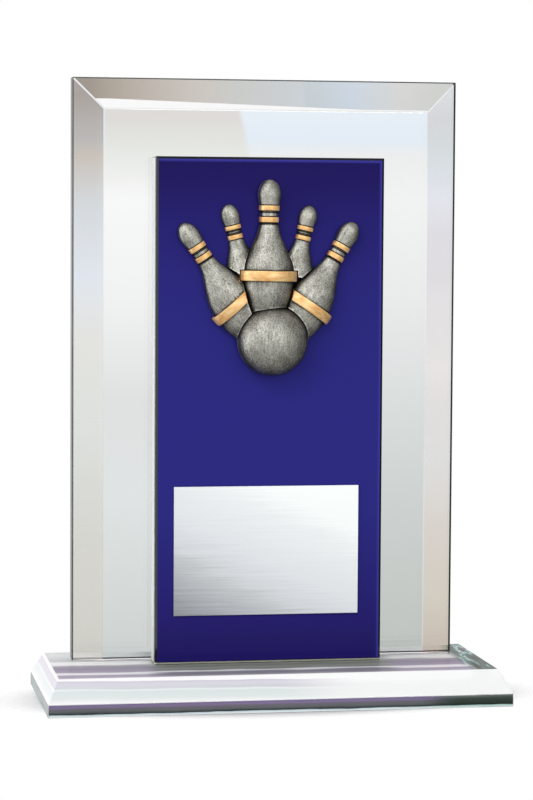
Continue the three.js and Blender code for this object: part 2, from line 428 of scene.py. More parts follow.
@dataclass(frozen=True)
class WheelCutBevel(FloatGlass):
    """A bevel cut by a row of wheels and polished with felt.

    Its colour is painted reflection, a shade darker than the flat glass: warm grey at the top left,
    then cool, and peach at the right foot. A painted wedge of light lies along its upper inner edge,
    a painted bright line along each mitre, and a painted dark line of shade along its outer rim.
    """

    name: str = "wheel_cut_bevel"
    gloss: float = 0.15
    low: tuple[float, float] = (-0.067, 0.0123)
    high: tuple[float, float] = (0.067, 0.2123)
    width: float = 10.7 * MM
    line: float = 0.35 * MM
    rims: tuple[float, float, float] = (0.5 * MM, 0.8 * MM, 0.45 * MM)
    left: tuple = LEFT_BEVEL_PAINTED_REFLECTIONS
    right: tuple = RIGHT_BEVEL_PAINTED_REFLECTIONS
    top: tuple = TOP_BEVEL_PAINTED_REFLECTIONS

    def shades(self, tree: bpy.types.NodeTree, place: bpy.types.NodeSocket) -> Shades:
        """Lays the shades along the bevel.

        Args:
            tree: The material's node tree.
            place: Object coordinates.

        Returns:
            The colour, and how clear the glass is there.
        """
        parts = add_node(tree, "SeparateXYZ", {0: place})
        beside, upwards = parts.outputs["X"], parts.outputs["Z"]
        height = add_node(tree, "MapRange", {
            "Value": upwards, "From Min": self.low[1], "From Max": self.high[1]})
        across = add_node(tree, "MapRange", {
            "Value": beside, "From Min": self.low[0], "From Max": self.high[0]})
        left, right, top = (
            set_stops(add_node(tree, "ValToRGB", {0: at}), stops, through)
            for at, stops in ((height, self.left), (height, self.right), (across, self.top)))
        on_right = add_node(tree, "Math", {0: across, 1: 0.5}, operation="GREATER_THAN")
        aside = add_node(tree, "Math", {0: beside}, operation="ABSOLUTE")
        from_side = add_node(tree, "Math", {0: self.high[0], 1: aside}, operation="SUBTRACT")
        from_top = add_node(tree, "Math", {0: self.high[1], 1: upwards}, operation="SUBTRACT")
        on_top = add_node(tree, "Math", {0: from_top, 1: from_side}, operation="LESS_THAN")
        sides = add_node(tree, "Mix", {"Factor": on_right, "A": left, "B": right}, data_type="RGBA")
        colour = add_node(tree, "Mix", {"Factor": on_top, "A": sides, "B": top}, data_type="RGBA")
        # The painted wedge of light is widest at the left and runs out to a line on the right.
        wedge = add_node(tree, "MapRange", {
            "Value": across, "From Min": 0.1, "From Max": 0.75, "To Min": 3.4 * MM, "To Max": 0.7 * MM})
        from_inside = add_node(tree, "Math", {0: self.width, 1: from_top}, operation="SUBTRACT")
        in_wedge = add_node(tree, "Math", {0: from_inside, 1: wedge}, operation="LESS_THAN")
        in_wedge = add_node(tree, "Math", {0: in_wedge, 1: on_top}, operation="MULTIPLY")
        from_mitre = add_node(tree, "Math", {0: from_top, 1: from_side}, operation="SUBTRACT")
        from_mitre = add_node(tree, "Math", {0: from_mitre}, operation="ABSOLUTE")
        on_mitre = add_node(tree, "Math", {0: from_mitre, 1: self.line}, operation="LESS_THAN")
        lit = add_node(tree, "Math", {0: in_wedge, 1: on_mitre}, operation="MAXIMUM")
        colour = add_node(
            tree, "Mix", {"Factor": lit, "A": colour, "B": from_hex("#ffffff")}, data_type="RGBA")
        left_rim, right_rim, top_rim = self.rims
        side_rim = add_node(
            tree, "Math", {0: on_right, 1: right_rim - left_rim, 2: left_rim}, operation="MULTIPLY_ADD")
        in_side_rim = add_node(tree, "Math", {0: from_side, 1: side_rim}, operation="LESS_THAN")
        in_top_rim = add_node(tree, "Math", {0: from_top, 1: top_rim}, operation="LESS_THAN")
        in_rim = add_node(tree, "Math", {0: in_side_rim, 1: in_top_rim}, operation="MAXIMUM")
        # Where the painted colour is palest the glass is made less clear, and on the painted light lines
        # less clear still, so that the painted light shows.
        paleness = add_node(tree, "RGBToBW", {0: colour})
        clarity = add_node(tree, "MapRange", {
            "Value": paleness, "From Min": 0.72, "From Max": 0.93, "To Min": 1.0, "To Max": 0.72})
        unlit = add_node(tree, "Math", {0: lit, 1: -0.8, 2: 1.0}, operation="MULTIPLY_ADD")
        clarity = add_node(tree, "Math", {0: clarity, 1: unlit}, operation="MULTIPLY")
        # A painted dark line of shade along the outer rim.
        rimmed = add_node(
            tree, "Mix", {"Factor": in_rim, "A": colour, "B": through("#3c4341")}, data_type="RGBA")
        return rimmed, clarity


@dataclass(frozen=True)
class GroundRim(Finish):
    """The narrow outer faces of the glass, ground on a belt and only half polished.

    Seen from the front they draw a fine grey-green outline round the clear glass: the glass's own green,
    darkened with painted shade.
    """

    name: str = "ground_glass_rim"
    colours: tuple[str, str] = ("#2b3230", "#525c59")
    clear: float = 0.4
    scratch_mm: float = 0.5

    def look(self, tree: bpy.types.NodeTree) -> Look:
        """Builds the ground rim.

        Args:
            tree: The material's node tree.

        Returns:
            The shader's inputs.
        """
        place = add_node(tree, "TexCoord").outputs["Object"]
        marks = draw_out(tree, place, (self.scratch_mm, self.scratch_mm, 9.0), 4.0)
        # Dark grey-green: the glass's own green, darkened with painted shade.
        colour = set_stops(add_node(tree, "ValToRGB", {0: marks}), [
            (0.35, self.colours[0]), (0.65, self.colours[1])])
        rough = add_node(tree, "MapRange", {"Value": marks, "To Min": 0.12, "To Max": 0.3})
        return {
            "Base Color": colour, "Roughness": rough,
            "Transmission Weight": self.clear, "IOR": GLASS_INDEX}


@dataclass(frozen=True)
class SatinSide(Finish):
    """The riser's narrow sides, ground and left satin: they catch the light and look white."""

    name: str = "satin_ground_side"

    def look(self, tree: bpy.types.NodeTree) -> Look:
        """Builds the satin side.

        Args:
            tree: The material's node tree.

        Returns:
            The shader's inputs.
        """
        place = add_node(tree, "TexCoord").outputs["Object"]
        frost = add_node(tree, "TexNoise", {"Vector": place, "Scale": 1 / (0.6 * MM), "Detail": 4.0})
        colour = set_stops(add_node(tree, "ValToRGB", {0: frost}), [
            (0.35, "#f1f8f4"), (0.65, "#fbfefc")])
        rough = add_node(tree, "MapRange", {"Value": frost, "To Min": 0.3, "To Max": 0.5})
        return {
            "Base Color": colour, "Roughness": rough, "Transmission Weight": 0.06,
            "IOR": GLASS_INDEX}


@dataclass(frozen=True)
class BaseFront(FloatGlass):
    """The upright front of the base, ground and polished.

    Painted with what the eye sees along the whole slab here, as painted reflection and shade: a dark
    band, lilac above and black below, between two bright lines, and greener towards the right end.
    """

    name: str = "polished_base_front"
    clear: float = 0.12
    gloss: float = 0.1
    height: float = 4.5 * MM

    def shades(self, tree: bpy.types.NodeTree, place: bpy.types.NodeSocket) -> Shades:
        """Lays the bands from the foot up.

        Args:
            tree: The material's node tree.
            place: Object coordinates.

        Returns:
            The colour, and how clear the glass is there.
        """
        parts = add_node(tree, "SeparateXYZ", {0: place})
        wave = draw_out(tree, place, (14.0, 1000.0, 3.0), 3.0)
        height = add_node(tree, "MapRange", {"Value": parts.outputs["Z"], "From Max": self.height})
        height = add_node(tree, "Math", {0: wave, 1: 0.16, 2: height}, operation="MULTIPLY_ADD")
        # Painted reflection and shade in bands from the foot up; the face is kept nearly opaque so they
        # show.
        bands = set_stops(add_node(tree, "ValToRGB", {0: height}), [
            (0.12, "#f4fafa"), (0.27, "#b7cdd4"), (0.3, "#0c1012"), (0.38, "#3a3f42"), (0.5, "#5b5f60"),
            (0.7, "#67626f"), (0.84, "#7c6d94"), (1.02, "#6b5c86")])
        green = set_stops(add_node(tree, "ValToRGB", {0: height}), [
            (0.1, "#e2f0ec"), (0.26, "#a9cfc8"), (0.3, "#101815"), (0.5, "#26332c"), (0.8, "#35403b"),
            (1.0, "#5f6a64")])
        mixed = melt(tree, parts.outputs["X"], 0.045, 0.06, bands, green)
        return mixed, None


@dataclass(frozen=True)
class BaseEnd(FloatGlass):
    """The two ends of the base: facets painted with slanting streaks of reflection and refraction for the
    slab's green depth.
    """

    name: str = "streaked_base_end"
    clear: float = 0.5
    gloss: float = 0.3
    streak_mm: float = 3.2

    def shades(self, tree: bpy.types.NodeTree, place: bpy.types.NodeSocket) -> Shades:
        """Lays painted streaks of reflection and refraction, green, blue, dark and white, from front to
        back.

        Args:
            tree: The material's node tree.
            place: Object coordinates.

        Returns:
            The colour, and how clear the glass is there.
        """
        streaks = draw_out(tree, place, (16.0, self.streak_mm, 16.0), 3.0, 0.7)
        colour = set_stops(add_node(tree, "ValToRGB", {0: streaks}), [
            (0.34, "#24393a"), (0.4, "#5e9a92"), (0.44, "#9fd0bd"), (0.49, "#8fb7cf"), (0.53, "#e8f6f2"),
            (0.57, "#7fb59f"), (0.62, "#cfe6c0"), (0.66, "#ffffff")])
        return colour, None


@dataclass(frozen=True)
class BaseBevel(FloatGlass):
    """The base's bevels: bright, and on the front's left half with a pale lilac shadow."""

    name: str = "bright_base_bevel"
    clear: float = 0.06
    gloss: float = 0.1
    low_z: float = 4.5 * MM
    high_z: float = 12 * MM

    def shades(self, tree: bpy.types.NodeTree, place: bpy.types.NodeSocket) -> Shades:
        """Lays the pale shadow on the left half.

        Args:
            tree: The material's node tree.
            place: Object coordinates.

        Returns:
            The colour, and how clear the glass is there.
        """
        parts = add_node(tree, "SeparateXYZ", {0: place})
        # The shadow narrows towards the right, where it runs out.
        drop = add_node(tree, "MapRange", {
            "Value": parts.outputs["X"], "From Min": -0.079, "From Max": 0.02, "To Min": 0.0, "To Max": 0.1})
        wave = add_node(tree, "TexNoise", {"Vector": place, "Scale": 1 / (25 * MM), "Detail": 2.0})
        height = add_node(tree, "MapRange", {
            "Value": parts.outputs["Z"], "From Min": self.low_z, "From Max": self.high_z})
        height = add_node(tree, "Math", {0: wave, 1: 0.16, 2: height}, operation="MULTIPLY_ADD")
        height = add_node(tree, "Math", {0: height, 1: drop}, operation="ADD")
        shades = set_stops(add_node(tree, "ValToRGB", {0: height}), [
            (0.1, "#ffffff"), (0.3, "#e9f0ef"), (0.55, "#e4ecec"), (0.62, "#f4faf8"), (0.68, "#d9dce2"),
            (0.88, "#dcdae4"), (0.95, "#d3cddc"), (0.98, "#ffffff")])
        mixed = melt(tree, parts.outputs["X"], -0.005, 0.03, shades, from_hex("#fdfffe"))
        return mixed, None


@dataclass(frozen=True)
class BaseTop(FloatGlass):
    """The base's flat top: clear from above, and from low down painted with lilac and green bands of
    reflection and refraction.

    Looked at nearly along it, it shows long level painted bands: grey-green and lilac, parted by white.
    """

    name: str = "banded_base_top"
    gloss: float = 0.0
    low: float = -27.7 * MM
    high: float = 27.7 * MM

    def shades(self, tree: bpy.types.NodeTree, place: bpy.types.NodeSocket) -> Shades:
        """Lays the bands from front to back.

        Args:
            tree: The material's node tree.
            place: Object coordinates.

        Returns:
            The colour, and how clear the glass is there.
        """
        parts = add_node(tree, "SeparateXYZ", {0: place})
        wave = draw_out(tree, place, (22.0, 5.0, 1000.0), 4.0)
        depth = add_node(tree, "MapRange", {
            "Value": parts.outputs["Y"], "From Min": self.low, "From Max": self.high})
        depth = add_node(tree, "Math", {0: wave, 1: 0.1, 2: depth}, operation="MULTIPLY_ADD")
        lilac = set_stops(add_node(tree, "ValToRGB", {0: depth}), [
            (0.06, "#bfb7ca"), (0.15, "#b0a9bb"), (0.19, "#fbfbfd"), (0.24, "#f4f2f8"), (0.26, "#b3aabf"),
            (0.4, "#9f98ab"), (0.5, "#b1abb7"), (0.54, "#f6f8f8"), (0.64, "#ffffff"), (0.7, "#cfd6d3"),
            (0.9, "#e3eae7")])
        green = set_stops(add_node(tree, "ValToRGB", {0: depth}), [
            (0.06, "#b3b0b8"), (0.13, "#908d97"), (0.2, "#9c9ba4"), (0.22, "#f4f6f6"), (0.25, "#eef0f0"),
            (0.27, "#8f948d"), (0.34, "#9fa39b"), (0.42, "#848981"), (0.5, "#b3b9af"), (0.62, "#c5cbc6"),
            (0.8, "#dfe6e3"), (0.9, "#b9c4bf")])
        # In front of the blue face the painted bands are green, beside it lilac.
        aside = add_node(tree, "Math", {0: parts.outputs["X"]}, operation="ABSOLUTE")
        mixed = melt(tree, aside, 0.046, 0.036, lilac, green)
        # Past the plate's right edge, painted slanting streaks stand for the slab's own green seen through
        # the top.
        streaks = draw_out(tree, place, (3.0, 26.0, 1000.0), 3.0, slant=0.9)
        deep = set_stops(add_node(tree, "ValToRGB", {0: streaks}), [
            (0.36, "#5d6964"), (0.47, "#87918b"), (0.53, "#77827c"), (0.59, "#9cc9c3"), (0.62, "#e4f1ec"),
            (0.65, "#7c8782")])
        mixed = melt(tree, parts.outputs["X"], 0.064, 0.069, mixed, deep)
        # From low down the glass is made nearly opaque, so that the painted bands show.
        facing = add_node(tree, "LayerWeight", {"Blend": 0.5}).outputs["Facing"]
        clarity = add_node(tree, "MapRange", {
            "Value": facing, "From Min": 0.68, "From Max": 0.8, "To Min": 1.0, "To Max": 0.12})
        return mixed, clarity


@dataclass(frozen=True)
class Underside(FloatGlass):
    """The base's polished underside, which gives back a broken lilac-grey picture of what it stands on."""

    name: str = "base_underside"
    patch_mm: tuple[float, float] = (60.0, 5.0)

    def shades(self, tree: bpy.types.NodeTree, place: bpy.types.NodeSocket) -> Shades:
        """Lays long patches along the base.

        Args:
            tree: The material's node tree.
            place: Object coordinates.

        Returns:
            The colour, and how clear the glass is there.
        """
        long_mm, short_mm = self.patch_mm
        patches = draw_out(tree, place, (long_mm, short_mm, short_mm), 2.0)
        lilac = set_stops(add_node(tree, "ValToRGB", {0: patches}), [
            (0.36, "#6f746d"), (0.44, "#8e8b9e"), (0.5, "#a39bb0"), (0.54, "#f2f4f5"), (0.6, "#8d918c"),
            (0.66, "#ffffff")], through)
        return lilac, None


@dataclass(frozen=True)
class BackCoatedGlass(Finish):
    """Polished glass coated deep blue on its back.

    The eye sees a flawless dark mirror with the colour under it, painted a little lighter half way up as
    painted light, and a painted bright line inside the right and top edges, where light runs along the
    sheet.
    """

    name: str = "back_coated_blue_glass"
    low_z: float = 0.0123
    high_z: float = 0.1851
    right_x: float = 0.0386
    line_from_edge: tuple[float, float, float] = (1.9 * MM, 1.1 * MM, 1.2 * MM)

    def look(self, tree: bpy.types.NodeTree) -> Look:
        """Builds the blue glass face.

        Args:
            tree: The material's node tree.

        Returns:
            The shader's inputs.
        """
        place = add_node(tree, "TexCoord").outputs["Object"]
        parts = add_node(tree, "SeparateXYZ", {0: place})
        height = add_node(tree, "MapRange", {
            "Value": parts.outputs["Z"], "From Min": self.low_z, "From Max": self.high_z})
        # Painted light: the blue is lighter half way up and darker towards the top and the foot.
        ramp = set_stops(add_node(tree, "ValToRGB", {0: height}), [
            (0.0, "#221b68"), (0.04, "#241d69"), (0.08, "#271f71"), (0.3, "#2c2b84"), (0.5, "#2c2b85"),
            (0.68, "#2b2a83"), (0.78, "#2b277e"), (0.86, "#272275"), (0.94, "#221a65"), (1.0, "#1e165c")])
        inner, side_full, top_full = self.line_from_edge
        side = add_node(tree, "MapRange", {
            "Value": parts.outputs["X"], "From Min": self.right_x - inner,
            "From Max": self.right_x - side_full})
        top = add_node(tree, "MapRange", {
            "Value": parts.outputs["Z"], "From Min": self.high_z - inner,
            "From Max": self.high_z - top_full})
        # Painted light: a bright line inside the right and top edges.
        painted_edge_light = add_node(tree, "Math", {0: side, 1: top}, operation="MAXIMUM")
        lit = add_node(tree, "Mix", {
            "Factor": painted_edge_light, "A": ramp, "B": from_hex("#3b3a9c")}, data_type="RGBA")
        grain = add_node(tree, "TexNoise", {"Vector": place, "Scale": 1 / (9 * MM), "Detail": 2.0})
        bump = add_node(tree, "Bump", {"Height": grain, "Strength": 0.03, "Distance": 0.2 * MM})
        return {
            "Base Color": lit, "Normal": bump, "Roughness": 0.03, "IOR": GLASS_INDEX,
            "Specular IOR Level": 0.04}


@dataclass(frozen=True)
class GroundEdge(Finish):
    """The polished chamfer of the blue sheet, painted near-black as painted shade, with a gloss.

    Along its foot it is painted pale green, as painted light from the base shining through it.
    """

    name: str = "polished_blue_edge"
    foot_z: float = 12.9 * MM

    def look(self, tree: bpy.types.NodeTree) -> Look:
        """Builds the dark chamfer.

        Args:
            tree: The material's node tree.

        Returns:
            The shader's inputs.
        """
        place = add_node(tree, "TexCoord").outputs["Object"]
        marks = add_node(tree, "TexNoise", {"Vector": place, "Scale": 1 / (2 * MM), "Detail": 4.0})
        # Near-black painted shade on the chamfer.
        ramp = set_stops(add_node(tree, "ValToRGB", {0: marks}), [
            (0.3, "#030310"), (0.75, "#0b0b26")])
        height = add_node(tree, "SeparateXYZ", {0: place}).outputs["Z"]
        # Painted light: pale green along the foot.
        at_foot = add_node(tree, "Math", {0: height, 1: self.foot_z}, operation="LESS_THAN")
        colour = add_node(tree, "Mix", {
            "Factor": at_foot, "A": ramp, "B": from_hex("#fbffee")}, data_type="RGBA")
        rough = add_node(tree, "MapRange", {"Value": marks, "To Min": 0.03, "To Max": 0.14})
        return {
            "Base Color": colour, "Roughness": rough, "IOR": GLASS_INDEX,
            "Specular IOR Level": 0.3}


@dataclass(frozen=True)
class BrushedAluminium(Finish):
    """Aluminium sheet, brushed along its width and lacquered.

    Fine level lines, here and there a deeper one, that spread every light up and down. The sheet
    is painted from near white at the top right to mid grey at the bottom left, as painted light and shade.
    """

    name: str = "brushed_aluminium"
    line_mm: float = 0.45
    length_mm: float = 22.0

    def look(self, tree: bpy.types.NodeTree) -> Look:
        """Builds the brushed metal. The sheet's UV map "brushing" runs from 0 to 1 up and across it.

        Args:
            tree: The material's node tree.

        Returns:
            The shader's inputs.
        """
        place = add_node(tree, "TexCoord").outputs["Object"]
        # The real lines are about 0.1 mm apart, too fine to show, so they are drawn 0.45 mm apart.
        lines = draw_out(tree, place, (self.length_mm, self.line_mm, self.line_mm), 4.0, 0.65)
        spot = add_node(tree, "SeparateXYZ", {0: add_node(tree, "UVMap", uv_map="brushing")})
        # Painted light and shade: lighter towards the top and the right.
        up = add_node(tree, "Math", {0: spot.outputs["X"], 1: 0.62}, operation="MULTIPLY")
        shade = add_node(tree, "Math", {0: spot.outputs["Y"], 1: 0.45, 2: up}, operation="MULTIPLY_ADD")
        shade = add_node(tree, "Math", {0: lines, 1: 0.32, 2: shade}, operation="MULTIPLY_ADD")
        colour = set_stops(add_node(tree, "ValToRGB", {0: shade}), [
            (0.18, "#8f9297"), (0.28, "#a7aab0"), (0.44, "#c4c8cb"), (0.5, "#d2d5d9"), (0.64, "#dfe2e6"),
            (0.88, "#e7ebec"), (1.0, "#f2f6f5")])
        rough = add_node(tree, "MapRange", {"Value": lines, "To Min": 0.26, "To Max": 0.4})
        bump = add_node(tree, "Bump", {"Height": lines, "Strength": 0.25, "Distance": 0.02 * MM})
        along = add_node(tree, "Tangent", direction_type="UV_MAP", uv_map="brushing")
        return {
            "Base Color": colour, "Roughness": rough, "Normal": bump,
            "Tangent": along, "Metallic": 0.6, "Anisotropic": 0.6}


@dataclass(frozen=True)
class AntiqueSilver(Finish):
    """Cast resin with a silver coat, blackened and then rubbed back by hand.

    Black stays in the hollows and beside the borders. The high parts are rubbed bright, in
    streaks that run along each pin.
    """

    name: str = "antique_silver"
    streak_mm: float = 0.5
    streak_length_mm: float = 5.0
    speck_mm: float = 0.4

    def look(self, tree: bpy.types.NodeTree) -> Look:
        """Builds the antique silver coat.

        Args:
            tree: The material's node tree.

        Returns:
            The shader's inputs.
        """
        grain = add_node(tree, "Attribute", attribute_name="grain").outputs["Vector"]
        crevice = add_node(tree, "Attribute", attribute_name="crevice").outputs["Fac"]
        wear = add_node(tree, "Attribute", attribute_name="wear").outputs["Fac"]
        streaks = draw_out(tree, grain, (self.streak_mm, self.streak_mm, self.streak_length_mm), 5.0, 0.6)
        specks = add_node(tree, "TexNoise", {
            "Vector": grain, "Scale": 1 / (self.speck_mm * MM), "Detail": 4.0, "Roughness": 0.75})
        clouds = add_node(tree, "TexNoise", {"Vector": grain, "Scale": 1 / (4 * MM), "Detail": 2.0})
        streaked = add_node(tree, "Mix", {"Factor": 0.7, "A": streaks, "B": specks})
        mottled = add_node(tree, "Mix", {"Factor": 0.18, "A": streaked, "B": clouds})
        # A hollow keeps its black; an edge that the cloth catches loses it.
        kept = add_node(tree, "Math", {0: crevice, 1: -0.42, 2: mottled}, operation="MULTIPLY_ADD")
        # Painted shade: the colour darkens where a flank turns away from the eye.
        turned_away_shade = add_node(tree, "LayerWeight", {"Blend": 0.35}).outputs["Facing"]
        kept = add_node(tree, "Math", {0: turned_away_shade, 1: -0.3, 2: kept}, operation="MULTIPLY_ADD")
        worn = add_node(tree, "Math", {0: wear, 1: 0.4, 2: kept}, operation="MULTIPLY_ADD")
        colour = set_stops(add_node(tree, "ValToRGB", {0: worn}), [
            (0.06, "#12110f"), (0.24, "#33322d"), (0.36, "#5f5e56"), (0.46, "#9a9990"), (0.6, "#d4d3ca")])
        rough = add_node(tree, "MapRange", {
            "Value": worn, "From Min": 0.15, "From Max": 0.7, "To Min": 0.6, "To Max": 0.4})
        bump = add_node(tree, "Bump", {"Height": streaked, "Strength": 0.3, "Distance": 0.1 * MM})
        return {
            "Base Color": colour, "Roughness": rough, "Normal": bump,
            "Metallic": 0.85}


@dataclass(frozen=True)
class GoldPaint(Finish):
    """Satin gold paint, brushed on by hand: warm, a little uneven, brown where the coat is thinnest, and
    darker where the crevice attribute marks a point as hidden.
    """

    name: str = "satin_gold_paint"
    stroke_mm: float = 1.2

    def look(self, tree: bpy.types.NodeTree) -> Look:
        """Builds the gold paint.

        Args:
            tree: The material's node tree.

        Returns:
            The shader's inputs.
        """
        grain = add_node(tree, "Attribute", attribute_name="grain").outputs["Vector"]
        crevice = add_node(tree, "Attribute", attribute_name="crevice").outputs["Fac"]
        strokes = draw_out(tree, grain, (4 * self.stroke_mm, self.stroke_mm, self.stroke_mm), 4.0, 0.6)
        # Darker where the crevice attribute marks a point as hidden among the pieces.
        thin_and_hidden = add_node(tree, "Math", {0: crevice, 1: -0.35, 2: strokes}, operation="MULTIPLY_ADD")
        colour = set_stops(add_node(tree, "ValToRGB", {0: thin_and_hidden}), [
            (0.05, "#7a4d20"), (0.26, "#cf9450"), (0.42, "#f0b974"), (0.58, "#f8cf92"), (0.75, "#ffe5b0")])
        bump = add_node(tree, "Bump", {"Height": strokes, "Strength": 0.15, "Distance": 0.04 * MM})
        rough = add_node(tree, "MapRange", {"Value": strokes, "To Min": 0.3, "To Max": 0.5})
        return {
            "Base Color": colour, "Normal": bump, "Roughness": rough,
            "Metallic": 0.45}


@dataclass(frozen=True)
class ClearAdhesive(Finish):
    """Acrylic adhesive cured by ultraviolet light: a clear film with a few pinhead bubbles."""

    name: str = "clear_adhesive"

    def look(self, tree: bpy.types.NodeTree) -> Look:
        """Builds the adhesive film.

        Args:
            tree: The material's node tree.

        Returns:
            The shader's inputs.
        """
        place = add_node(tree, "TexCoord").outputs["Object"]
        bubbles = add_node(tree, "TexVoronoi", {"Vector": place, "Scale": 1 / (6 * MM)})
        rough = add_node(tree, "MapRange", {
            "Value": bubbles.outputs["Distance"], "From Min": 0.05, "From Max": 0.1, "To Min": 0.3,
            "To Max": 0.02})
        return {
            "Roughness": rough, "Base Color": from_hex("#f6faf8"), "Transmission Weight": 1.0,
            "IOR": 1.48}


@dataclass(frozen=True)
class FoamTape(Finish):
    """Double-sided acrylic foam tape: off-white, matt, with fine open cells at its cut edge."""

    name: str = "foam_tape"
    cell_mm: float = 0.15

    def look(self, tree: bpy.types.NodeTree) -> Look:
        """Builds the foam.

        Args:
            tree: The material's node tree.

        Returns:
            The shader's inputs.
        """
        place = add_node(tree, "TexCoord").outputs["Object"]
        cells = add_node(tree, "TexVoronoi", {"Vector": place, "Scale": 1 / (self.cell_mm * MM)})
        colour = set_stops(add_node(tree, "ValToRGB", {0: cells.outputs["Distance"]}), [
            (0.1, "#bdbcb4"), (0.6, "#ecebe5")])
        bump = add_node(
            tree, "Bump", {"Height": cells.outputs["Distance"], "Strength": 0.5, "Distance": 0.05 * MM})
        return {"Base Color": colour, "Normal": bump, "Roughness": 0.9}


# ---- Glass ----


class Coat(IntEnum):
    """The base's finishes, in the order of its material slots."""

    CLEAR = 0
    FRONT = 1
    END = 2
    SLOPE = 3
    UNDERSIDE = 4
    TOP = 5


@dataclass
class GlassBase:
    """The glass base: upright sides, then a wide bevel on all four top edges. Sizes in metres.

    A face that rises more than least_rise and looks back less than most_depth is one of the bevels.
    """

    side_height: float = 4.5 * MM
    end_bevel: float = 4 * MM
    face_bevel: float = 5.8 * MM
    arris: float = 0.25 * MM
    least_rise: float = 0.3
    most_depth: float = 0.5

    def build(self) -> bpy.types.Object:
        """Makes the slab from its foot up.

        Returns:
            The slab, with its finishes.
        """
        low, high = box_of("base_slab")
        size = high - low
        middle = (low + high) / 2
        piece = saw_block("glass_base", low, Vector((high.x, high.y, low.z + self.side_height)))
        ratio = (1 - 2 * self.end_bevel / size.x, 1 - 2 * self.face_bevel / size.y, 1)
        draw_in(Vector((0, 0, 1)), size.z - self.side_height, ratio, (middle.x, middle.y, high.z))
        add_arris(piece, self.arris, 2)
        front = BaseFront(height=self.side_height)
        bevel = BaseBevel(low_z=self.side_height, high_z=high.z)
        dress(piece, (FloatGlass(), front, BaseEnd(), bevel, Underside(), BaseTop()))
        for polygon in piece.data.polygons:
            side, depth, rise = polygon.normal
            if abs(rise) > FACE_ON:
                polygon.material_index = Coat.TOP if rise > 0 else Coat.UNDERSIDE
            elif abs(side) > FACE_ON:
                polygon.material_index = Coat.END
            elif depth < -FACE_ON:
                polygon.material_index = Coat.FRONT
            elif rise > self.least_rise and depth < self.most_depth:
                polygon.material_index = Coat.SLOPE
        return piece


@dataclass
class GlassPlate:
    """The upright glass plate: a wide bevel on the front's top and two sides. Sizes in metres."""

    bevel_width: float = 10.7 * MM
    bevel_drop: float = 2.4 * MM
    arris: float = 0.3 * MM

    def build(self) -> bpy.types.Object:
        """Makes the plate from its back to its front.

        Returns:
            The plate, with its finishes.
        """
        low, high = box_of("back_plate")
        size = high - low
        piece = saw_block("glass_plate", Vector((low.x, low.y + self.bevel_drop, low.z)), high)
        ratio = (1 - 2 * self.bevel_width / size.x, 1, 1 - self.bevel_width / size.z)
        draw_in(Vector((0, -1, 0)), self.bevel_drop, ratio, ((low.x + high.x) / 2, low.y, low.z))
        add_arris(piece, self.arris, 2)
        bevel = WheelCutBevel(low=(low.x, low.z), high=(high.x, high.z), width=self.bevel_width)
        dress(piece, (FloatGlass(), bevel, GroundRim()))
        slope = math.cos(math.atan(self.bevel_drop / self.bevel_width))
        for polygon in piece.data.polygons:
            facing = -polygon.normal.y
            if abs(facing - slope) < 0.002:
                polygon.material_index = 1
            elif abs(facing) < slope - 0.01 and polygon.normal.z > -0.5:
                polygon.material_index = 2
        return piece


@dataclass
class GlassRiser:
    """The clear block behind the blue face, cut to the same outline."""

    arris: float = 0.4 * MM

    def build(self) -> bpy.types.Object:
        """Makes the block.

        Returns:
            The block, with its finishes.
        """
        piece = saw_block("glass_riser", *box_of("riser"))
        add_arris(piece, self.arris, 2)
        dress(piece, (FloatGlass(), SatinSide(), GroundRim(clear=0.1)))
        for polygon in piece.data.polygons:
            if abs(polygon.normal.x) > 0.999:
                polygon.material_index = 1
            elif abs(polygon.normal.y) < 0.999 and abs(polygon.normal.z) < 0.999:
                polygon.material_index = 2
        return piece


@dataclass
class BlueFace:
    """The blue glass sheet with chamfered front edges. Sizes in metres."""

    chamfer: float = 0.8 * MM
    arris: float = 0.06 * MM

    def build(self) -> bpy.types.Object:
        """Makes the sheet, with a second material slot for its edges.

        Returns:
            The sheet, with its two finishes.
        """
        low, high = box_of("blue_face")
        size = high - low
        middle = (low + high) / 2
        piece = saw_block("blue_glass_face", Vector((low.x, low.y + self.chamfer, low.z)), high)
        ratio = (1 - 2 * self.chamfer / size.x, 1, 1 - 2 * self.chamfer / size.z)
        draw_in(Vector((0, -1, 0)), self.chamfer, ratio, (middle.x, low.y, middle.z))
        add_arris(piece, self.arris, 1)
        dress(piece, (BackCoatedGlass(low_z=low.z, high_z=high.z, right_x=high.x), GroundEdge()))
        for polygon in piece.data.polygons:
            polygon.material_index = 0 if abs(polygon.normal.y) > FACE_ON else 1
        return piece


@dataclass
class EngravingPlate:
    """The blank metal plate for the winner's name, with softly filed edges."""

    filed: float = 0.12 * MM

    def build(self) -> bpy.types.Object:
        """Makes the plate.

        Returns:
            The plate, with its finish.
        """
        low, high = box_of("engraving_plate")
        size = high - low
        piece = saw_block("brushed_engraving_plate", low, high)
        add_arris(piece, self.filed, 3)
        while piece.data.uv_layers:
            piece.data.uv_layers.remove(piece.data.uv_layers[0])
        layer = piece.data.uv_layers.new(name="brushing")
        for loop in piece.data.loops:
            spot = piece.data.vertices[loop.vertex_index].co
            layer.data[loop.index].uv = ((spot.z - low.z) / size.z, (spot.x - low.x) / size.x)
        dress(piece, (BrushedAluminium(),))
        return piece


# ---- The cast emblem, in its own frame: the ball's centre on the flat back, front towards -Y ----


class Rank(Enum):
    """Where a pin stands in the fan."""

    CENTRE = "centre"
    OUTER = "outer"
    INNER = "inner"


@dataclass(frozen=True)
class Build:
    """How big and how proud the pins of one rank are. Lengths in mm."""

    width: float
    length: float
    stand_off: float
    flat: float
    belted: bool
    hidden: float


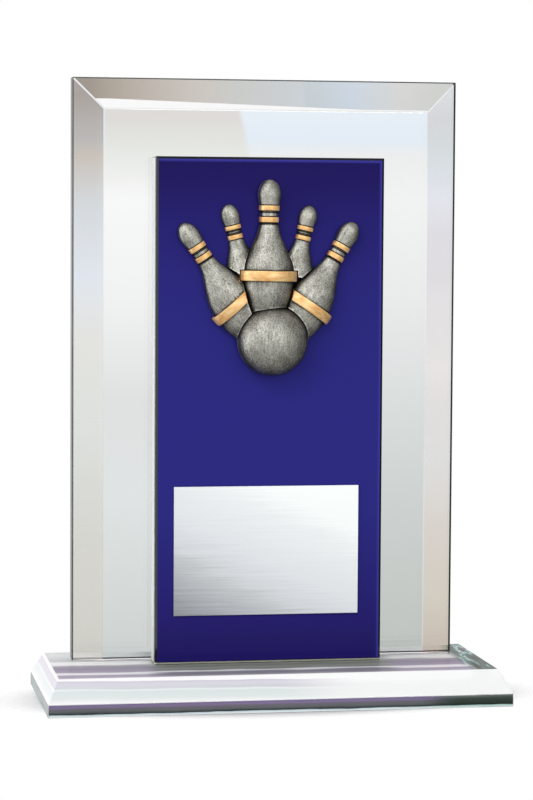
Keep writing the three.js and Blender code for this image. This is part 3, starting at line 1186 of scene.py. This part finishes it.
BUILDS = {
    Rank.CENTRE: Build(1.0, 1.0, 3.6, 0.7, True, 0.0),
    Rank.OUTER: Build(0.93, 0.98, 2.0, 0.6, True, 0.0),
    Rank.INNER: Build(0.84, 0.83, 0.8, 0.6, False, 15.5),
}


@dataclass(frozen=True)
class Stance:
    """One pin of the fan: its foot from the ball's centre in mm, and its lean to the right.

    Its belt may sit lower than the centre pin's, in mm, and slant across it, in degrees.
    """

    name: str
    rank: Rank
    x: float
    z: float
    lean: float
    belt_drop: float = 0.0
    belt_slant: float = 0.0

    def matrix(self) -> Matrix:
        """Gives the move from the pin's own axis to its place in the fan, in metres."""
        turn = Matrix.Rotation(math.radians(self.lean), 4, "Y")
        return Matrix.Translation((self.x * MM, 0, self.z * MM)) @ turn


@dataclass
class TenPin:
    """The shape of a ten-pin, from its foot up, as radius and height in mm."""

    height: float = 48.45
    head_radius: float = 3.75
    head_z: float = 43.1
    foot_radius: float = 4.8
    body: tuple[Ring, ...] = (
        (5.7, 2.9), (7.5, 7.6), (8.3, 11.4), (8.6, 15.2), (7.9, 20.1), (6.3, 24.4), (3.85, 29.9),
        (2.95, 34.3), (2.9, 36.4), (3.15, 39.0))
    belt: tuple[float, float, float] = (14.0, 17.5, 9.75)
    neck_bands: dict = field(default_factory=lambda: {
        "upper": (37.9, 39.6, 3.25), "lower": (33.9, 35.7, 3.1)})
    band_thickness: float = 0.5
    gap: float = 0.3
    steps: int = 5
    head_steps: int = 12

    def outline(self, build: Build, grow: float = 0.0) -> list[Ring]:
        """Runs a smooth line through the pin's widths.

        Args:
            build: The pin's size.
            grow: How far outside the pin the line runs, in mm.

        Returns:
            The radius and height of each ring in mm, from the foot to just before the tip.
        """
        knots = [(self.foot_radius * build.width + grow, -grow)]
        for radius, height in (*self.body, (self.head_radius, self.head_z)):
            knots.append((radius * build.width + grow, height * build.length))
        rings = []
        last = len(knots) - 1
        for i in range(last):
            before, after = knots[max(i - 1, 0)], knots[min(i + 2, last)]
            start, end = knots[i], knots[i + 1]
            for step in range(self.steps):
                t = step / self.steps
                rings.append(tuple(smooth(before[k], start[k], end[k], after[k], t) for k in (0, 1)))
        head_height = (self.height - self.head_z) * build.length + grow
        radius, low = knots[last]
        for step in range(self.head_steps):
            angle = math.pi / 2 * step / self.head_steps
            rings.append((radius * math.cos(angle), low + head_height * math.sin(angle)))
        return rings

    def tip(self, build: Build, grow: float = 0.0) -> float:
        """Gives the height of the head's top in mm."""
        return self.height * build.length + grow

    def neck_bands_of(self, build: Build) -> dict[str, tuple[float, float, float]]:
        """Gives each neck band's lowest and highest point and its radius in mm, at a pin's size."""
        return {
            name: (low * build.length, high * build.length, radius * build.width)
            for name, (low, high, radius) in self.neck_bands.items()
        }

    def grooved(self, build: Build) -> list[Ring]:
        """Gives the pin's rings with a groove under each neck band.

        Args:
            build: The pin's size.

        Returns:
            The rings in mm, from the foot to just before the tip.
        """
        rings = self.outline(build)
        for low, high, radius in self.neck_bands_of(build).values():
            floor = radius - self.band_thickness - self.gap
            start, end = low - self.gap, high + self.gap
            before = [ring for ring in rings if ring[1] < start]
            after = [ring for ring in rings if ring[1] > end]
            groove = [
                (radius_at(rings, start), start), (floor, start + 0.02), (floor, end - 0.02),
                (radius_at(rings, end), end)]
            rings = before + groove + after
        return rings


def smooth(before: float, start: float, end: float, after: float, t: float) -> float:
    """Gives a point on an even Catmull-Rom line.

    Args:
        before: The knot before the span.
        start: The span's first knot.
        end: The span's last knot.
        after: The knot after the span.
        t: How far along the span, from 0 to 1.

    Returns:
        The value at t.
    """
    leave, arrive = (end - before) / 2, (after - start) / 2
    cubic = 2 * start - 2 * end + leave + arrive
    square = -3 * start + 3 * end - 2 * leave - arrive
    return ((cubic * t + square) * t + leave) * t + start


def radius_at(rings: Sequence[Ring], height: float) -> float:
    """Reads a radius between two rings.

    Args:
        rings: Radius and height pairs, from low to high.
        height: Where to read.

    Returns:
        The radius there.
    """
    for (low_radius, low), (high_radius, high) in zip(rings, rings[1:]):
        if low <= height <= high and high > low:
            return low_radius + (high_radius - low_radius) * (height - low) / (high - low)
    return rings[-1][0]


@dataclass
class ReliefMaker:
    """Turns and flattens shapes into reliefs with a flat back."""

    around: int = 64
    reach: float = 60.0

    def raise_rings(self, rings: Sequence[Ring], deep: bool) -> None:
        """Raises the selected outline from ring to ring.

        Args:
            rings: Radius and height pairs in mm; the outline stands at the first.
            deep: Whether the depth changes along with the width.
        """
        for (radius, height), (next_radius, next_height) in zip(rings, rings[1:]):
            push((0, 0, (next_height - height) * MM))
            ratio = next_radius / radius
            scale_about((ratio, ratio if deep else 1, 1), (0, 0, next_height * MM))

    def turn(self, name: str, rings: Sequence[Ring], tip: float | None) -> bpy.types.Object:
        """Builds a round shape ring by ring, as on a lathe.

        Args:
            name: The new object's name.
            rings: Radius and height pairs in mm, from low to high.
            tip: The height of a closing point in mm, or None for a flat top.

        Returns:
            The round shape, standing on its own axis.
        """
        deselect_all()
        radius, height = rings[0]
        bpy.ops.mesh.primitive_circle_add(
            vertices=self.around, radius=radius * MM, fill_type="NGON", location=(0, 0, height * MM))
        piece = bpy.context.object
        piece.name = piece.data.name = name
        settle(piece)
        edit_mode(True)
        bpy.ops.mesh.select_all(action="SELECT")
        self.raise_rings(rings, deep=True)
        if tip is not None:
            push((0, 0, (tip - rings[-1][1]) * MM))
            bpy.ops.mesh.merge(type="CENTER")
        edit_mode(False)
        return piece

    def flatten(self, piece: bpy.types.Object, stand_off: float, flat: float) -> bpy.types.Object:
        """Flattens a round shape and carries its widest line straight to the back.

        Args:
            piece: The round shape.
            stand_off: How far the widest line stands off the back, in mm.
            flat: The depth of the round front against its width.

        Returns:
            The same object.
        """
        take(piece)
        edit_mode(True)
        bpy.ops.mesh.select_all(action="SELECT")
        scale_about((1, flat, 1), (0, 0, 0))
        bpy.ops.transform.translate(value=(0, -stand_off * MM, 0))
        bpy.ops.mesh.bisect(
            plane_co=(0, -stand_off * MM, 0), plane_no=(0, 1, 0), clear_outer=True, use_fill=False)
        pick("edges", lambda edge: edge.is_boundary)
        push((0, stand_off * MM, 0))
        bpy.ops.mesh.edge_face_add()
        bpy.ops.mesh.select_all(action="SELECT")
        bpy.ops.mesh.remove_doubles(threshold=0.002 * MM)
        bpy.ops.mesh.normals_make_consistent(inside=False)
        edit_mode(False)
        return piece

    def drum(self, name: str, low: float, high: float, radius: float, soft: float) -> bpy.types.Object:
        """Turns a short drum with softened edges.

        Args:
            name: The new object's name.
            low: Its lowest point in mm.
            high: Its highest point in mm.
            radius: Its radius in mm.
            soft: The size of its softened edges in mm.

        Returns:
            The drum.
        """
        rings = [
            (radius - soft, low), (radius - 0.3 * soft, low + 0.3 * soft), (radius, low + soft),
            (radius, (low + high) / 2), (radius, high - soft), (radius - 0.3 * soft, high - 0.3 * soft),
            (radius - soft, high)]
        return self.turn(name, rings if soft else [(radius, low), (radius, high)], None)

    def prism(self, name: str, rings: Sequence[Ring], depth: tuple[float, float]) -> bpy.types.Object:
        """Makes a straight-sided prism with a pin's outline, for cutting.

        Args:
            name: The new object's name.
            rings: Half width and height pairs in mm, from low to high.
            depth: The prism's front and back in mm.

        Returns:
            The prism, on the pin's own axis.
        """
        front, back = depth
        deselect_all()
        half, height = rings[0]
        bpy.ops.mesh.primitive_plane_add(size=1, location=(0, (front + back) / 2 * MM, height * MM))
        piece = bpy.context.object
        piece.name = piece.data.name = name
        piece.scale = (2 * half * MM, (back - front) * MM, 1)
        settle(piece)
        edit_mode(True)
        bpy.ops.mesh.select_all(action="SELECT")
        self.raise_rings(rings, deep=False)
        bpy.ops.mesh.select_all(action="SELECT")
        bpy.ops.mesh.normals_make_consistent(inside=False)
        edit_mode(False)
        return piece


@dataclass
class BowlingBall:
    """The ball: a flattened dome on a short straight side. Sizes in mm."""

    radius: float = 11.9
    stand_off: float = 4.5
    dome: float = 8.2

    def build(self, name: str, grow: float = 0.0) -> bpy.types.Object:
        """Makes the ball, or a larger one for cutting room for it.

        Args:
            name: The new object's name.
            grow: How much larger it is all round, in mm.

        Returns:
            The ball with its flat back at y = 0.
        """
        deselect_all()
        radius = (self.radius + grow) * MM
        bpy.ops.mesh.primitive_uv_sphere_add(segments=96, ring_count=48, radius=radius)
        piece = bpy.context.object
        piece.name = piece.data.name = name
        settle(piece)
        return ReliefMaker().flatten(piece, self.stand_off, (self.dome + grow) / (self.radius + grow))


@dataclass
class Emblem:
    """The cast emblem: five pins fanned behind a ball.

    Lengths are in mm, but the black line beside the bands and the grain's shift are in metres.
    """

    tape_gap: float = 0.5
    black_line: float = 0.28 * MM
    black_off: float = 0.35
    soft_angle: float = 38.0
    ray_count: int = 20
    shift: float = 0.1
    pin: TenPin = field(default_factory=TenPin)
    ball: BowlingBall = field(default_factory=BowlingBall)
    maker: ReliefMaker = field(default_factory=ReliefMaker)
    # From the front of the fan to its back.
    stances: tuple[Stance, ...] = (
        Stance("centre", Rank.CENTRE, -1.85, 6.2, 0.9),
        Stance("left_outer", Rank.OUTER, -4.6, 0.0, -33.9, 0.8, -8.0),
        Stance("right_outer", Rank.OUTER, 4.9, -1.0, 29.9, 0.8, 4.0),
        Stance("left_inner", Rank.INNER, -5.6, 7.1, -14.1),
        Stance("right_inner", Rank.INNER, 4.4, 6.7, 12.8),
    )
    belt_soft: float = 0.35
    band_soft: float = 0.15
    dent_depth: float = 0.09
    dent_size: float = 2.6

    def origin(self) -> Vector:
        """Gives the middle of the emblem's back, taken from where the ball sits."""
        low, high = box_of("ball")
        return Vector(((low.x + high.x) / 2, high.y, (low.z + high.z) / 2))

    def dent(self, piece: bpy.types.Object) -> None:
        """Gives a casting the slight unevenness of a hand-finished pattern."""
        take(piece)
        clouds = bpy.data.textures.get("hand_finish") or bpy.data.textures.new("hand_finish", "CLOUDS")
        clouds.noise_scale = self.dent_size * MM
        modifier = piece.modifiers.new("dents", "DISPLACE")
        modifier.texture = clouds
        modifier.strength = self.dent_depth * MM
        modifier.mid_level = 1.0
        bpy.ops.object.modifier_apply(modifier=modifier.name)

    def stand(self, piece: bpy.types.Object, stance: Stance) -> bpy.types.Object:
        """Leans a shape and moves it to its place in the fan."""
        piece.matrix_world = stance.matrix()
        settle(piece)
        return piece

    def belt_of(self, stance: Stance, grow: float = 0.0) -> tuple[float, float, float]:
        """Gives a belt's lowest and highest point about its own middle, and its radius, in mm."""
        build = BUILDS[stance.rank]
        low, high, radius = self.pin.belt
        half = (high - low) / 2 * build.length + grow
        return -half, half, radius * build.width + grow

    def slant(self, piece: bpy.types.Object, stance: Stance) -> bpy.types.Object:
        """Slants a belt about its own middle and moves it up its pin.

        Args:
            piece: The belt, made about its own middle.
            stance: The pin that it goes round.

        Returns:
            The same object.
        """
        low, high, _ = self.pin.belt
        middle = (low + high) / 2 * BUILDS[stance.rank].length - stance.belt_drop
        turn = Matrix.Rotation(math.radians(stance.belt_slant), 4, "Y")
        piece.matrix_world = Matrix.Translation((0, 0, middle * MM)) @ turn
        settle(piece)
        return piece

    def shadows_of(self, stance: Stance) -> list[bpy.types.Object]:
        """Makes the cutters that clear the pieces behind one pin.

        Args:
            stance: The pin in front.

        Returns:
            Prisms with the outlines of the pin and its belt, grown by the joint.
        """
        build = BUILDS[stance.rank]
        through = (-self.maker.reach, self.maker.reach)
        rings = self.pin.outline(build, self.pin.gap)
        tip = self.pin.tip(build, self.pin.gap)
        cutters = [self.maker.prism(f"shadow_{stance.name}", rings + [(0.2, tip - 0.01)], through)]
        if build.belted:
            low, high, half = self.belt_of(stance, self.pin.gap)
            belt = self.maker.prism(f"belt_shadow_{stance.name}", [(half, low), (half, high)], through)
            cutters.append(self.slant(belt, stance))
        return [self.stand(cutter, stance) for cutter in cutters]

    def pin_pieces(self, stance: Stance) -> list[bpy.types.Object]:
        """Makes one pin with its bands, on its own axis.

        Args:
            stance: Which pin.

        Returns:
            The pin, its neck bands and, on a belted pin, its belt.
        """
        build = BUILDS[stance.rank]
        flat = (build.stand_off, build.flat)
        body = self.maker.turn(f"{stance.name}_cast_pin", self.pin.grooved(build), self.pin.tip(build))
        self.maker.flatten(body, *flat)
        self.dent(body)
        pieces = [body]
        for name, (low, high, radius) in self.pin.neck_bands_of(build).items():
            ring = self.maker.drum(f"{stance.name}_{name}_gold_ring", low, high, radius, self.band_soft)
            self.maker.flatten(ring, *flat)
            core = self.maker.drum("core", low - 1, high + 1, radius - self.pin.band_thickness, 0)
            self.maker.flatten(core, *flat)
            cut_away(ring, core)
            discard([core])
            pieces.append(ring)
        if build.belted:
            belt = self.maker.drum(f"{stance.name}_gold_belt", *self.belt_of(stance), self.belt_soft)
            self.slant(self.maker.flatten(belt, *flat), stance)
            around = self.pin.outline(build, self.pin.gap)
            core = self.maker.turn("core", around, self.pin.tip(build, self.pin.gap))
            self.maker.flatten(core, *flat)
            cut_away(belt, core)
            discard([core])
            pieces.append(belt)
        return pieces

    def lose_foot(self, piece: bpy.types.Object, hidden: float) -> None:
        """Cuts off the foot that lies behind the pins in front.

        Args:
            piece: The pin on its own axis.
            hidden: The height up to which it is cut, in mm.
        """
        take(piece)
        edit_mode(True)
        bpy.ops.mesh.select_all(action="SELECT")
        bpy.ops.mesh.bisect(
            plane_co=(0, 0, hidden * MM), plane_no=(0, 0, -1), clear_outer=True, use_fill=True)
        edit_mode(False)

    def build(self) -> dict[str, bpy.types.Object]:
        """Casts the whole emblem.

        Returns:
            Each piece under the name of the CAD node that it stands for.
        """
        cutters = [self.ball.build("ball_shadow", self.pin.gap)]
        made: dict[str, bpy.types.Object] = {}
        stance_of: dict[str, Stance | None] = {"ball": None}
        for stance in self.stances:
            build = BUILDS[stance.rank]
            pieces = self.pin_pieces(stance)
            if build.hidden:
                self.lose_foot(pieces[0], build.hidden)
            names = [f"{stance.name}_pin"]
            names += [f"{stance.name}_{name}_neck_band" for name in self.pin.neck_bands_of(build)]
            names += [f"{stance.name}_belly_band"] if build.belted else []
            for name, piece in zip(names, pieces):
                self.stand(piece, stance)
                for cutter in cutters:
                    cut_away(piece, cutter)
                made[name] = piece
                stance_of[name] = stance
            cutters += self.shadows_of(stance)
        discard(cutters)
        made["ball"] = self.ball.build("cast_ball")
        self.dent(made["ball"])
        for name, piece in made.items():
            piece.matrix_world = Matrix.Translation(self.origin())
            settle(piece)
            take(piece)
            bpy.ops.object.shade_smooth_by_angle(angle=math.radians(self.soft_angle))
            self.write_grain(piece, stance_of[name])
            write_wear(piece)
        self.write_crevices(made)
        return made

    def write_grain(self, piece: bpy.types.Object, stance: Stance | None) -> None:
        """Stores each point's place on the pin's own axis, so that streaks run along the pin.

        Args:
            piece: The piece.
            stance: The pin it belongs to, or None for the ball.
        """
        place = Matrix.Translation(self.origin()) @ (stance.matrix() if stance else Matrix.Identity(4))
        back = place.inverted()
        # Each pin starts elsewhere in the pattern, so that no two are alike.
        turns = self.stances.index(stance) + 1 if stance else 0.5
        shift = Vector((0, 0, self.shift * turns))
        grain = piece.data.attributes.new("grain", "FLOAT_VECTOR", "POINT")
        for i, vertex in enumerate(piece.data.vertices):
            grain.data[i].vector = back @ vertex.co + shift

    def write_crevices(self, made: dict[str, bpy.types.Object]) -> None:
        """Stores how hidden each point is, which is where black stays when the coat is rubbed.

        Args:
            made: All the emblem's pieces.
        """
        points, faces = [], []
        for piece in made.values():
            start = len(points)
            points += [vertex.co.copy() for vertex in piece.data.vertices]
            faces += [[start + i for i in polygon.vertices] for polygon in piece.data.polygons]
        wall_y = self.origin().y + self.tape_gap * MM
        tree = BVHTree.FromPolygons(points, faces)
        rays = dome_of_rays(self.ray_count)
        for piece in made.values():
            crevice = piece.data.attributes.new("crevice", "FLOAT", "POINT")
            edges = self.band_edges(piece)
            grain = piece.data.attributes["grain"].data
            for i, vertex in enumerate(piece.data.vertices):
                along = grain[i].vector.z % self.shift
                beside = any(abs(along - edge) < self.black_line for edge in edges)
                hidden = hidden_share(tree, vertex.co, vertex.normal, rays, wall_y)
                crevice.data[i].value = 1.0 if beside else hidden

    def band_edges(self, piece: bpy.types.Object) -> list[float]:
        """Gives where a cast pin's neck bands end along its axis, in metres; other pieces have none."""
        for stance in self.stances:
            if piece.name == f"{stance.name}_cast_pin":
                bands = self.pin.neck_bands_of(BUILDS[stance.rank]).values()
                off = self.black_off
                return [edge * MM for low, high, _ in bands for edge in (low - off, high + off)]
        return []


RUBBED_ANGLE = 40
OUTLOOK = 4 * MM


def write_wear(piece: bpy.types.Object) -> None:
    """Stores 1 at each point of a hard outer edge, where rubbing takes the black off first.

    Args:
        piece: The piece.
    """
    shape = bmesh.new()
    shape.from_mesh(piece.data)
    worn = [0.0] * len(shape.verts)
    for edge in shape.edges:
        if edge.is_manifold and edge.calc_face_angle_signed() > math.radians(RUBBED_ANGLE):
            for vertex in edge.verts:
                worn[vertex.index] = 1.0
    shape.free()
    wear = piece.data.attributes.new("wear", "FLOAT", "POINT")
    wear.data.foreach_set("value", worn)


def dome_of_rays(count: int) -> list[Vector]:
    """Spreads directions over a dome about +Z, denser towards its top.

    Args:
        count: How many directions.

    Returns:
        Unit vectors.
    """
    golden = math.pi * (3 - math.sqrt(5))
    rays = []
    for i in range(count):
        rise = math.sqrt(1 - (i + 0.5) / count)
        flat = math.sqrt(1 - rise * rise)
        rays.append(Vector((flat * math.cos(golden * i), flat * math.sin(golden * i), rise)))
    return rays


def hidden_share(
        tree: BVHTree, point: Vector, normal: Vector, rays: Sequence[Vector], wall_y: float) -> float:
    """Measures how much of a point's outlook is blocked within a few millimetres.

    Args:
        tree: All the pieces around.
        point: The point.
        normal: The surface's direction there.
        rays: Directions over a dome about +Z.
        wall_y: Where the wall behind the pieces stands.

    Returns:
        From 0, quite open, to 1, quite hidden.
    """
    turn = normal.to_track_quat("Z", "Y")
    start = point + normal * 0.05 * MM
    blocked = 0.0
    for ray in rays:
        way = turn @ ray
        reached = tree.ray_cast(start, way, OUTLOOK)[3]
        if way.y > 0.05:
            wall = (wall_y - start.y) / way.y
            reached = min(wall, reached if reached is not None else OUTLOOK)
        if reached is not None and reached < OUTLOOK:
            blocked += 1 - reached / OUTLOOK
    return blocked / len(rays)


# ---- The studio ----


@dataclass
class Studio:
    """A pale floor, soft boxes and a camera."""

    lens: float = 120.19
    place: tuple[float, float, float] = (-0.15840, -0.90213, 0.16263)
    yaw: float = 9.908
    pitch: float = 3.764
    roll: float = 0.342
    floor_radius: float = 1.5
    floor_drop: float = 0.05 * MM
    fade: tuple[float, float] = (0.0335, 0.045)
    middle: tuple[float, float, float] = (0.0, 0.0, 0.11)
    reach: float = 1.2

    def set_camera(self) -> None:
        """Stands the camera in front, a little to the left and above the middle."""
        yaw, pitch, roll = (math.radians(angle) for angle in (self.yaw, self.pitch, self.roll))
        ahead = Vector((math.sin(yaw) * math.cos(pitch), math.cos(yaw) * math.cos(pitch), -math.sin(pitch)))
        right = Vector((math.cos(yaw), -math.sin(yaw), 0))
        up = right.cross(ahead)
        tilted_right = math.cos(roll) * right + math.sin(roll) * up
        tilted_up = -math.sin(roll) * right + math.cos(roll) * up
        data = bpy.data.cameras.new("camera")
        data.lens = self.lens
        data.sensor_width = 36
        data.clip_start = 0.01
        camera = bpy.data.objects.new("camera", data)
        turn = Matrix((tilted_right, tilted_up, -ahead)).transposed().to_4x4()
        camera.matrix_world = Matrix.Translation(self.place) @ turn
        bpy.context.scene.collection.objects.link(camera)
        bpy.context.scene.camera = camera

    def lay_floor(self) -> None:
        """Lays a pale floor that melts into the background at its rim."""
        deselect_all()
        bpy.ops.mesh.primitive_circle_add(
            vertices=96, radius=self.floor_radius, fill_type="NGON", location=(0, 0, -self.floor_drop))
        floor = bpy.context.object
        floor.name = floor.data.name = "floor"
        settle(floor)
        material = bpy.data.materials.new("pale_floor")
        material.use_nodes = True
        tree = material.node_tree
        tree.nodes.clear()
        place = add_node(tree, "TexCoord").outputs["Object"]
        # The base is wider than it is deep, so the floor fades in an ellipse.
        oval = add_node(tree, "Mapping", {"Vector": place, "Scale": (0.45, 1.0, 1.0)})
        distance = add_node(tree, "VectorMath", {0: oval}, operation="LENGTH")
        fade = add_node(tree, "MapRange", {
            "Value": distance, "From Min": self.fade[0], "From Max": self.fade[1]},
            interpolation_type="SMOOTHSTEP")
        matt = add_node(tree, "BsdfDiffuse", {"Color": grey(0.86)})
        clear = add_node(tree, "BsdfTransparent")
        mixed = add_node(tree, "MixShader", {0: fade, 1: matt, 2: clear})
        add_node(tree, "OutputMaterial", {"Surface": mixed})
        floor.data.materials.append(material)

    def set_surround(self) -> None:
        """Surrounds the set with light, and with white paper where the camera looks past the trophy.

        Behind it the light is banded white and lilac-grey, in front it is brightest a little above
        the camera, and it is bright at the left and dark at the right.
        """
        world = bpy.data.worlds.new("studio")
        bpy.context.scene.world = world
        world.use_nodes = True
        tree = world.node_tree
        tree.nodes.clear()
        way = add_node(tree, "SeparateXYZ", {0: add_node(tree, "TexCoord").outputs["Generated"]})
        x, y, z = way.outputs
        rise = add_node(tree, "MapRange", {"Value": z, "From Min": -0.2, "From Max": 0.2})
        behind_left = set_stops(add_node(tree, "ValToRGB", {0: rise}), [
            (0.11, (0.655, 0.659, 0.664, 1.0)), (0.2425, (0.785, 0.785, 0.797, 1.0)),
            (0.336, (0.785, 0.756, 0.773, 1.0)), (0.429, (0.935, 0.901, 0.92, 1.0)),
            (0.5225, (0.995, 0.955, 0.975, 1.0)), (0.5695, (0.815, 0.795, 0.773, 1.0)),
            (0.6, (0.745, 0.688, 0.674, 1.0)), (0.8, (1.1, 1.015, 1.08, 1.0))], tuple)
        behind_right = set_stops(add_node(tree, "ValToRGB", {0: rise}), [
            (0.11, (0.535, 0.544, 0.526, 1.0)), (0.2425, (0.635, 0.64, 0.645, 1.0)),
            (0.336, (0.735, 0.737, 0.743, 1.0)), (0.429, (0.865, 0.833, 0.851, 1.0)),
            (0.5225, (0.935, 0.901, 0.92, 1.0)), (0.565, (0.885, 0.852, 0.871, 1.0)),
            (0.578, (0.795, 0.843, 0.94, 1.0)), (0.8, (1.1, 1.015, 1.08, 1.0))], tuple)
        slant = add_node(tree, "Math", {0: z, 1: 0.21, 2: x}, operation="MULTIPLY_ADD")
        parted = add_node(tree, "MapRange", {
            "Value": slant, "From Min": 0.1695, "From Max": 0.1715})
        behind = add_node(tree, "Mix", {
            "Factor": parted, "A": behind_left, "B": behind_right}, data_type="RGBA")
        # In front it is brightest a little above the camera, dim low down and far to the sides.
        ahead = set_stops(add_node(tree, "ValToRGB", {0: add_node(tree, "MapRange", {
            "Value": z, "From Min": -0.5, "From Max": 1.0})}), [
            (0.0, grey(0.4)), (0.2, grey(0.8)), (0.33, grey(1.15)), (0.45, grey(1.4)), (0.6, grey(1.0)),
            (1.0, grey(0.45))], tuple)
        aside = add_node(tree, "Math", {0: x}, operation="ABSOLUTE")
        aside = add_node(tree, "MapRange", {
            "Value": aside, "From Min": 0.25, "From Max": 0.75, "To Min": 1.0, "To Max": 0.5},
            interpolation_type="SMOOTHSTEP")
        ahead = add_node(tree, "VectorMath", {0: ahead, "Scale": aside}, operation="SCALE")
        both = melt(tree, y, -0.1, 0.35, ahead, behind)
        lefted = melt(tree, x, -0.8, -0.93, both, grey(2.2))
        righted = melt(tree, x, 0.88, 0.96, lefted, grey(0.15))
        studio = add_node(tree, "Background", {"Color": righted})
        paper = add_node(tree, "Background", {"Color": grey(1.0)})
        seen = add_node(tree, "LightPath").outputs["Is Camera Ray"]
        mixed = add_node(tree, "MixShader", {0: seen, 1: studio, 2: paper})
        add_node(tree, "OutputWorld", {"Surface": mixed})

    def hang_box(self, name: str, way: Sequence[float], size: tuple[float, float], power: float) -> None:
        """Hangs one soft box that looks at the trophy.

        Args:
            name: The light's name.
            way: The direction from the trophy to the box.
            size: Its width and height in metres.
            power: Its power in watts.
        """
        data = bpy.data.lights.new(name, "AREA")
        data.shape = "RECTANGLE"
        data.size, data.size_y = size
        data.energy = power
        light = bpy.data.objects.new(name, data)
        towards = Vector(way).normalized()
        turn = towards.to_track_quat("Z", "Y").to_matrix().to_4x4()
        light.matrix_world = Matrix.Translation(Vector(self.middle) + towards * self.reach) @ turn
        light.visible_camera = False
        bpy.context.scene.collection.objects.link(light)

    def build(self) -> None:
        """Sets up the whole studio."""
        bpy.context.scene.view_settings.view_transform = "Standard"
        self.set_camera()
        self.lay_floor()
        self.set_surround()
        self.hang_box("left_box", (-0.46, -0.69, 0.60), (0.6, 0.6), 3.4)
        self.hang_box("front_box", (0.24, -0.94, 0.22), (0.4, 0.22), 1.3)


def main() -> None:
    """Builds every piece, dresses it and sets the studio."""
    logging.basicConfig(level=logging.INFO, format="%(name)s: %(message)s")
    Studio().build()
    for maker, node in ((GlassBase(), "base_slab"), (GlassPlate(), "back_plate"), (GlassRiser(), "riser")):
        finish_piece(maker.build(), node)
    finish_piece(BlueFace().build(), "blue_face")
    finish_piece(EngravingPlate().build(), "engraving_plate")

    silver, gold = AntiqueSilver().make(), GoldPaint().make()
    for node, piece in Emblem().build().items():
        painted = node.endswith("band")
        piece.data.materials.clear()
        piece.data.materials.append(gold if painted else silver)
        finish_piece(piece, node)

    for finish, ending in ((ClearAdhesive(), "_film"), (FoamTape(), "_tape")):
        material = finish.make()
        for node in (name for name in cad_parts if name.endswith(ending)):
            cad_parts[node].material_slots[0].material = material
            log.info("%s is dressed in %s", node, finish.name)


if __name__ == "__main__":
    main()
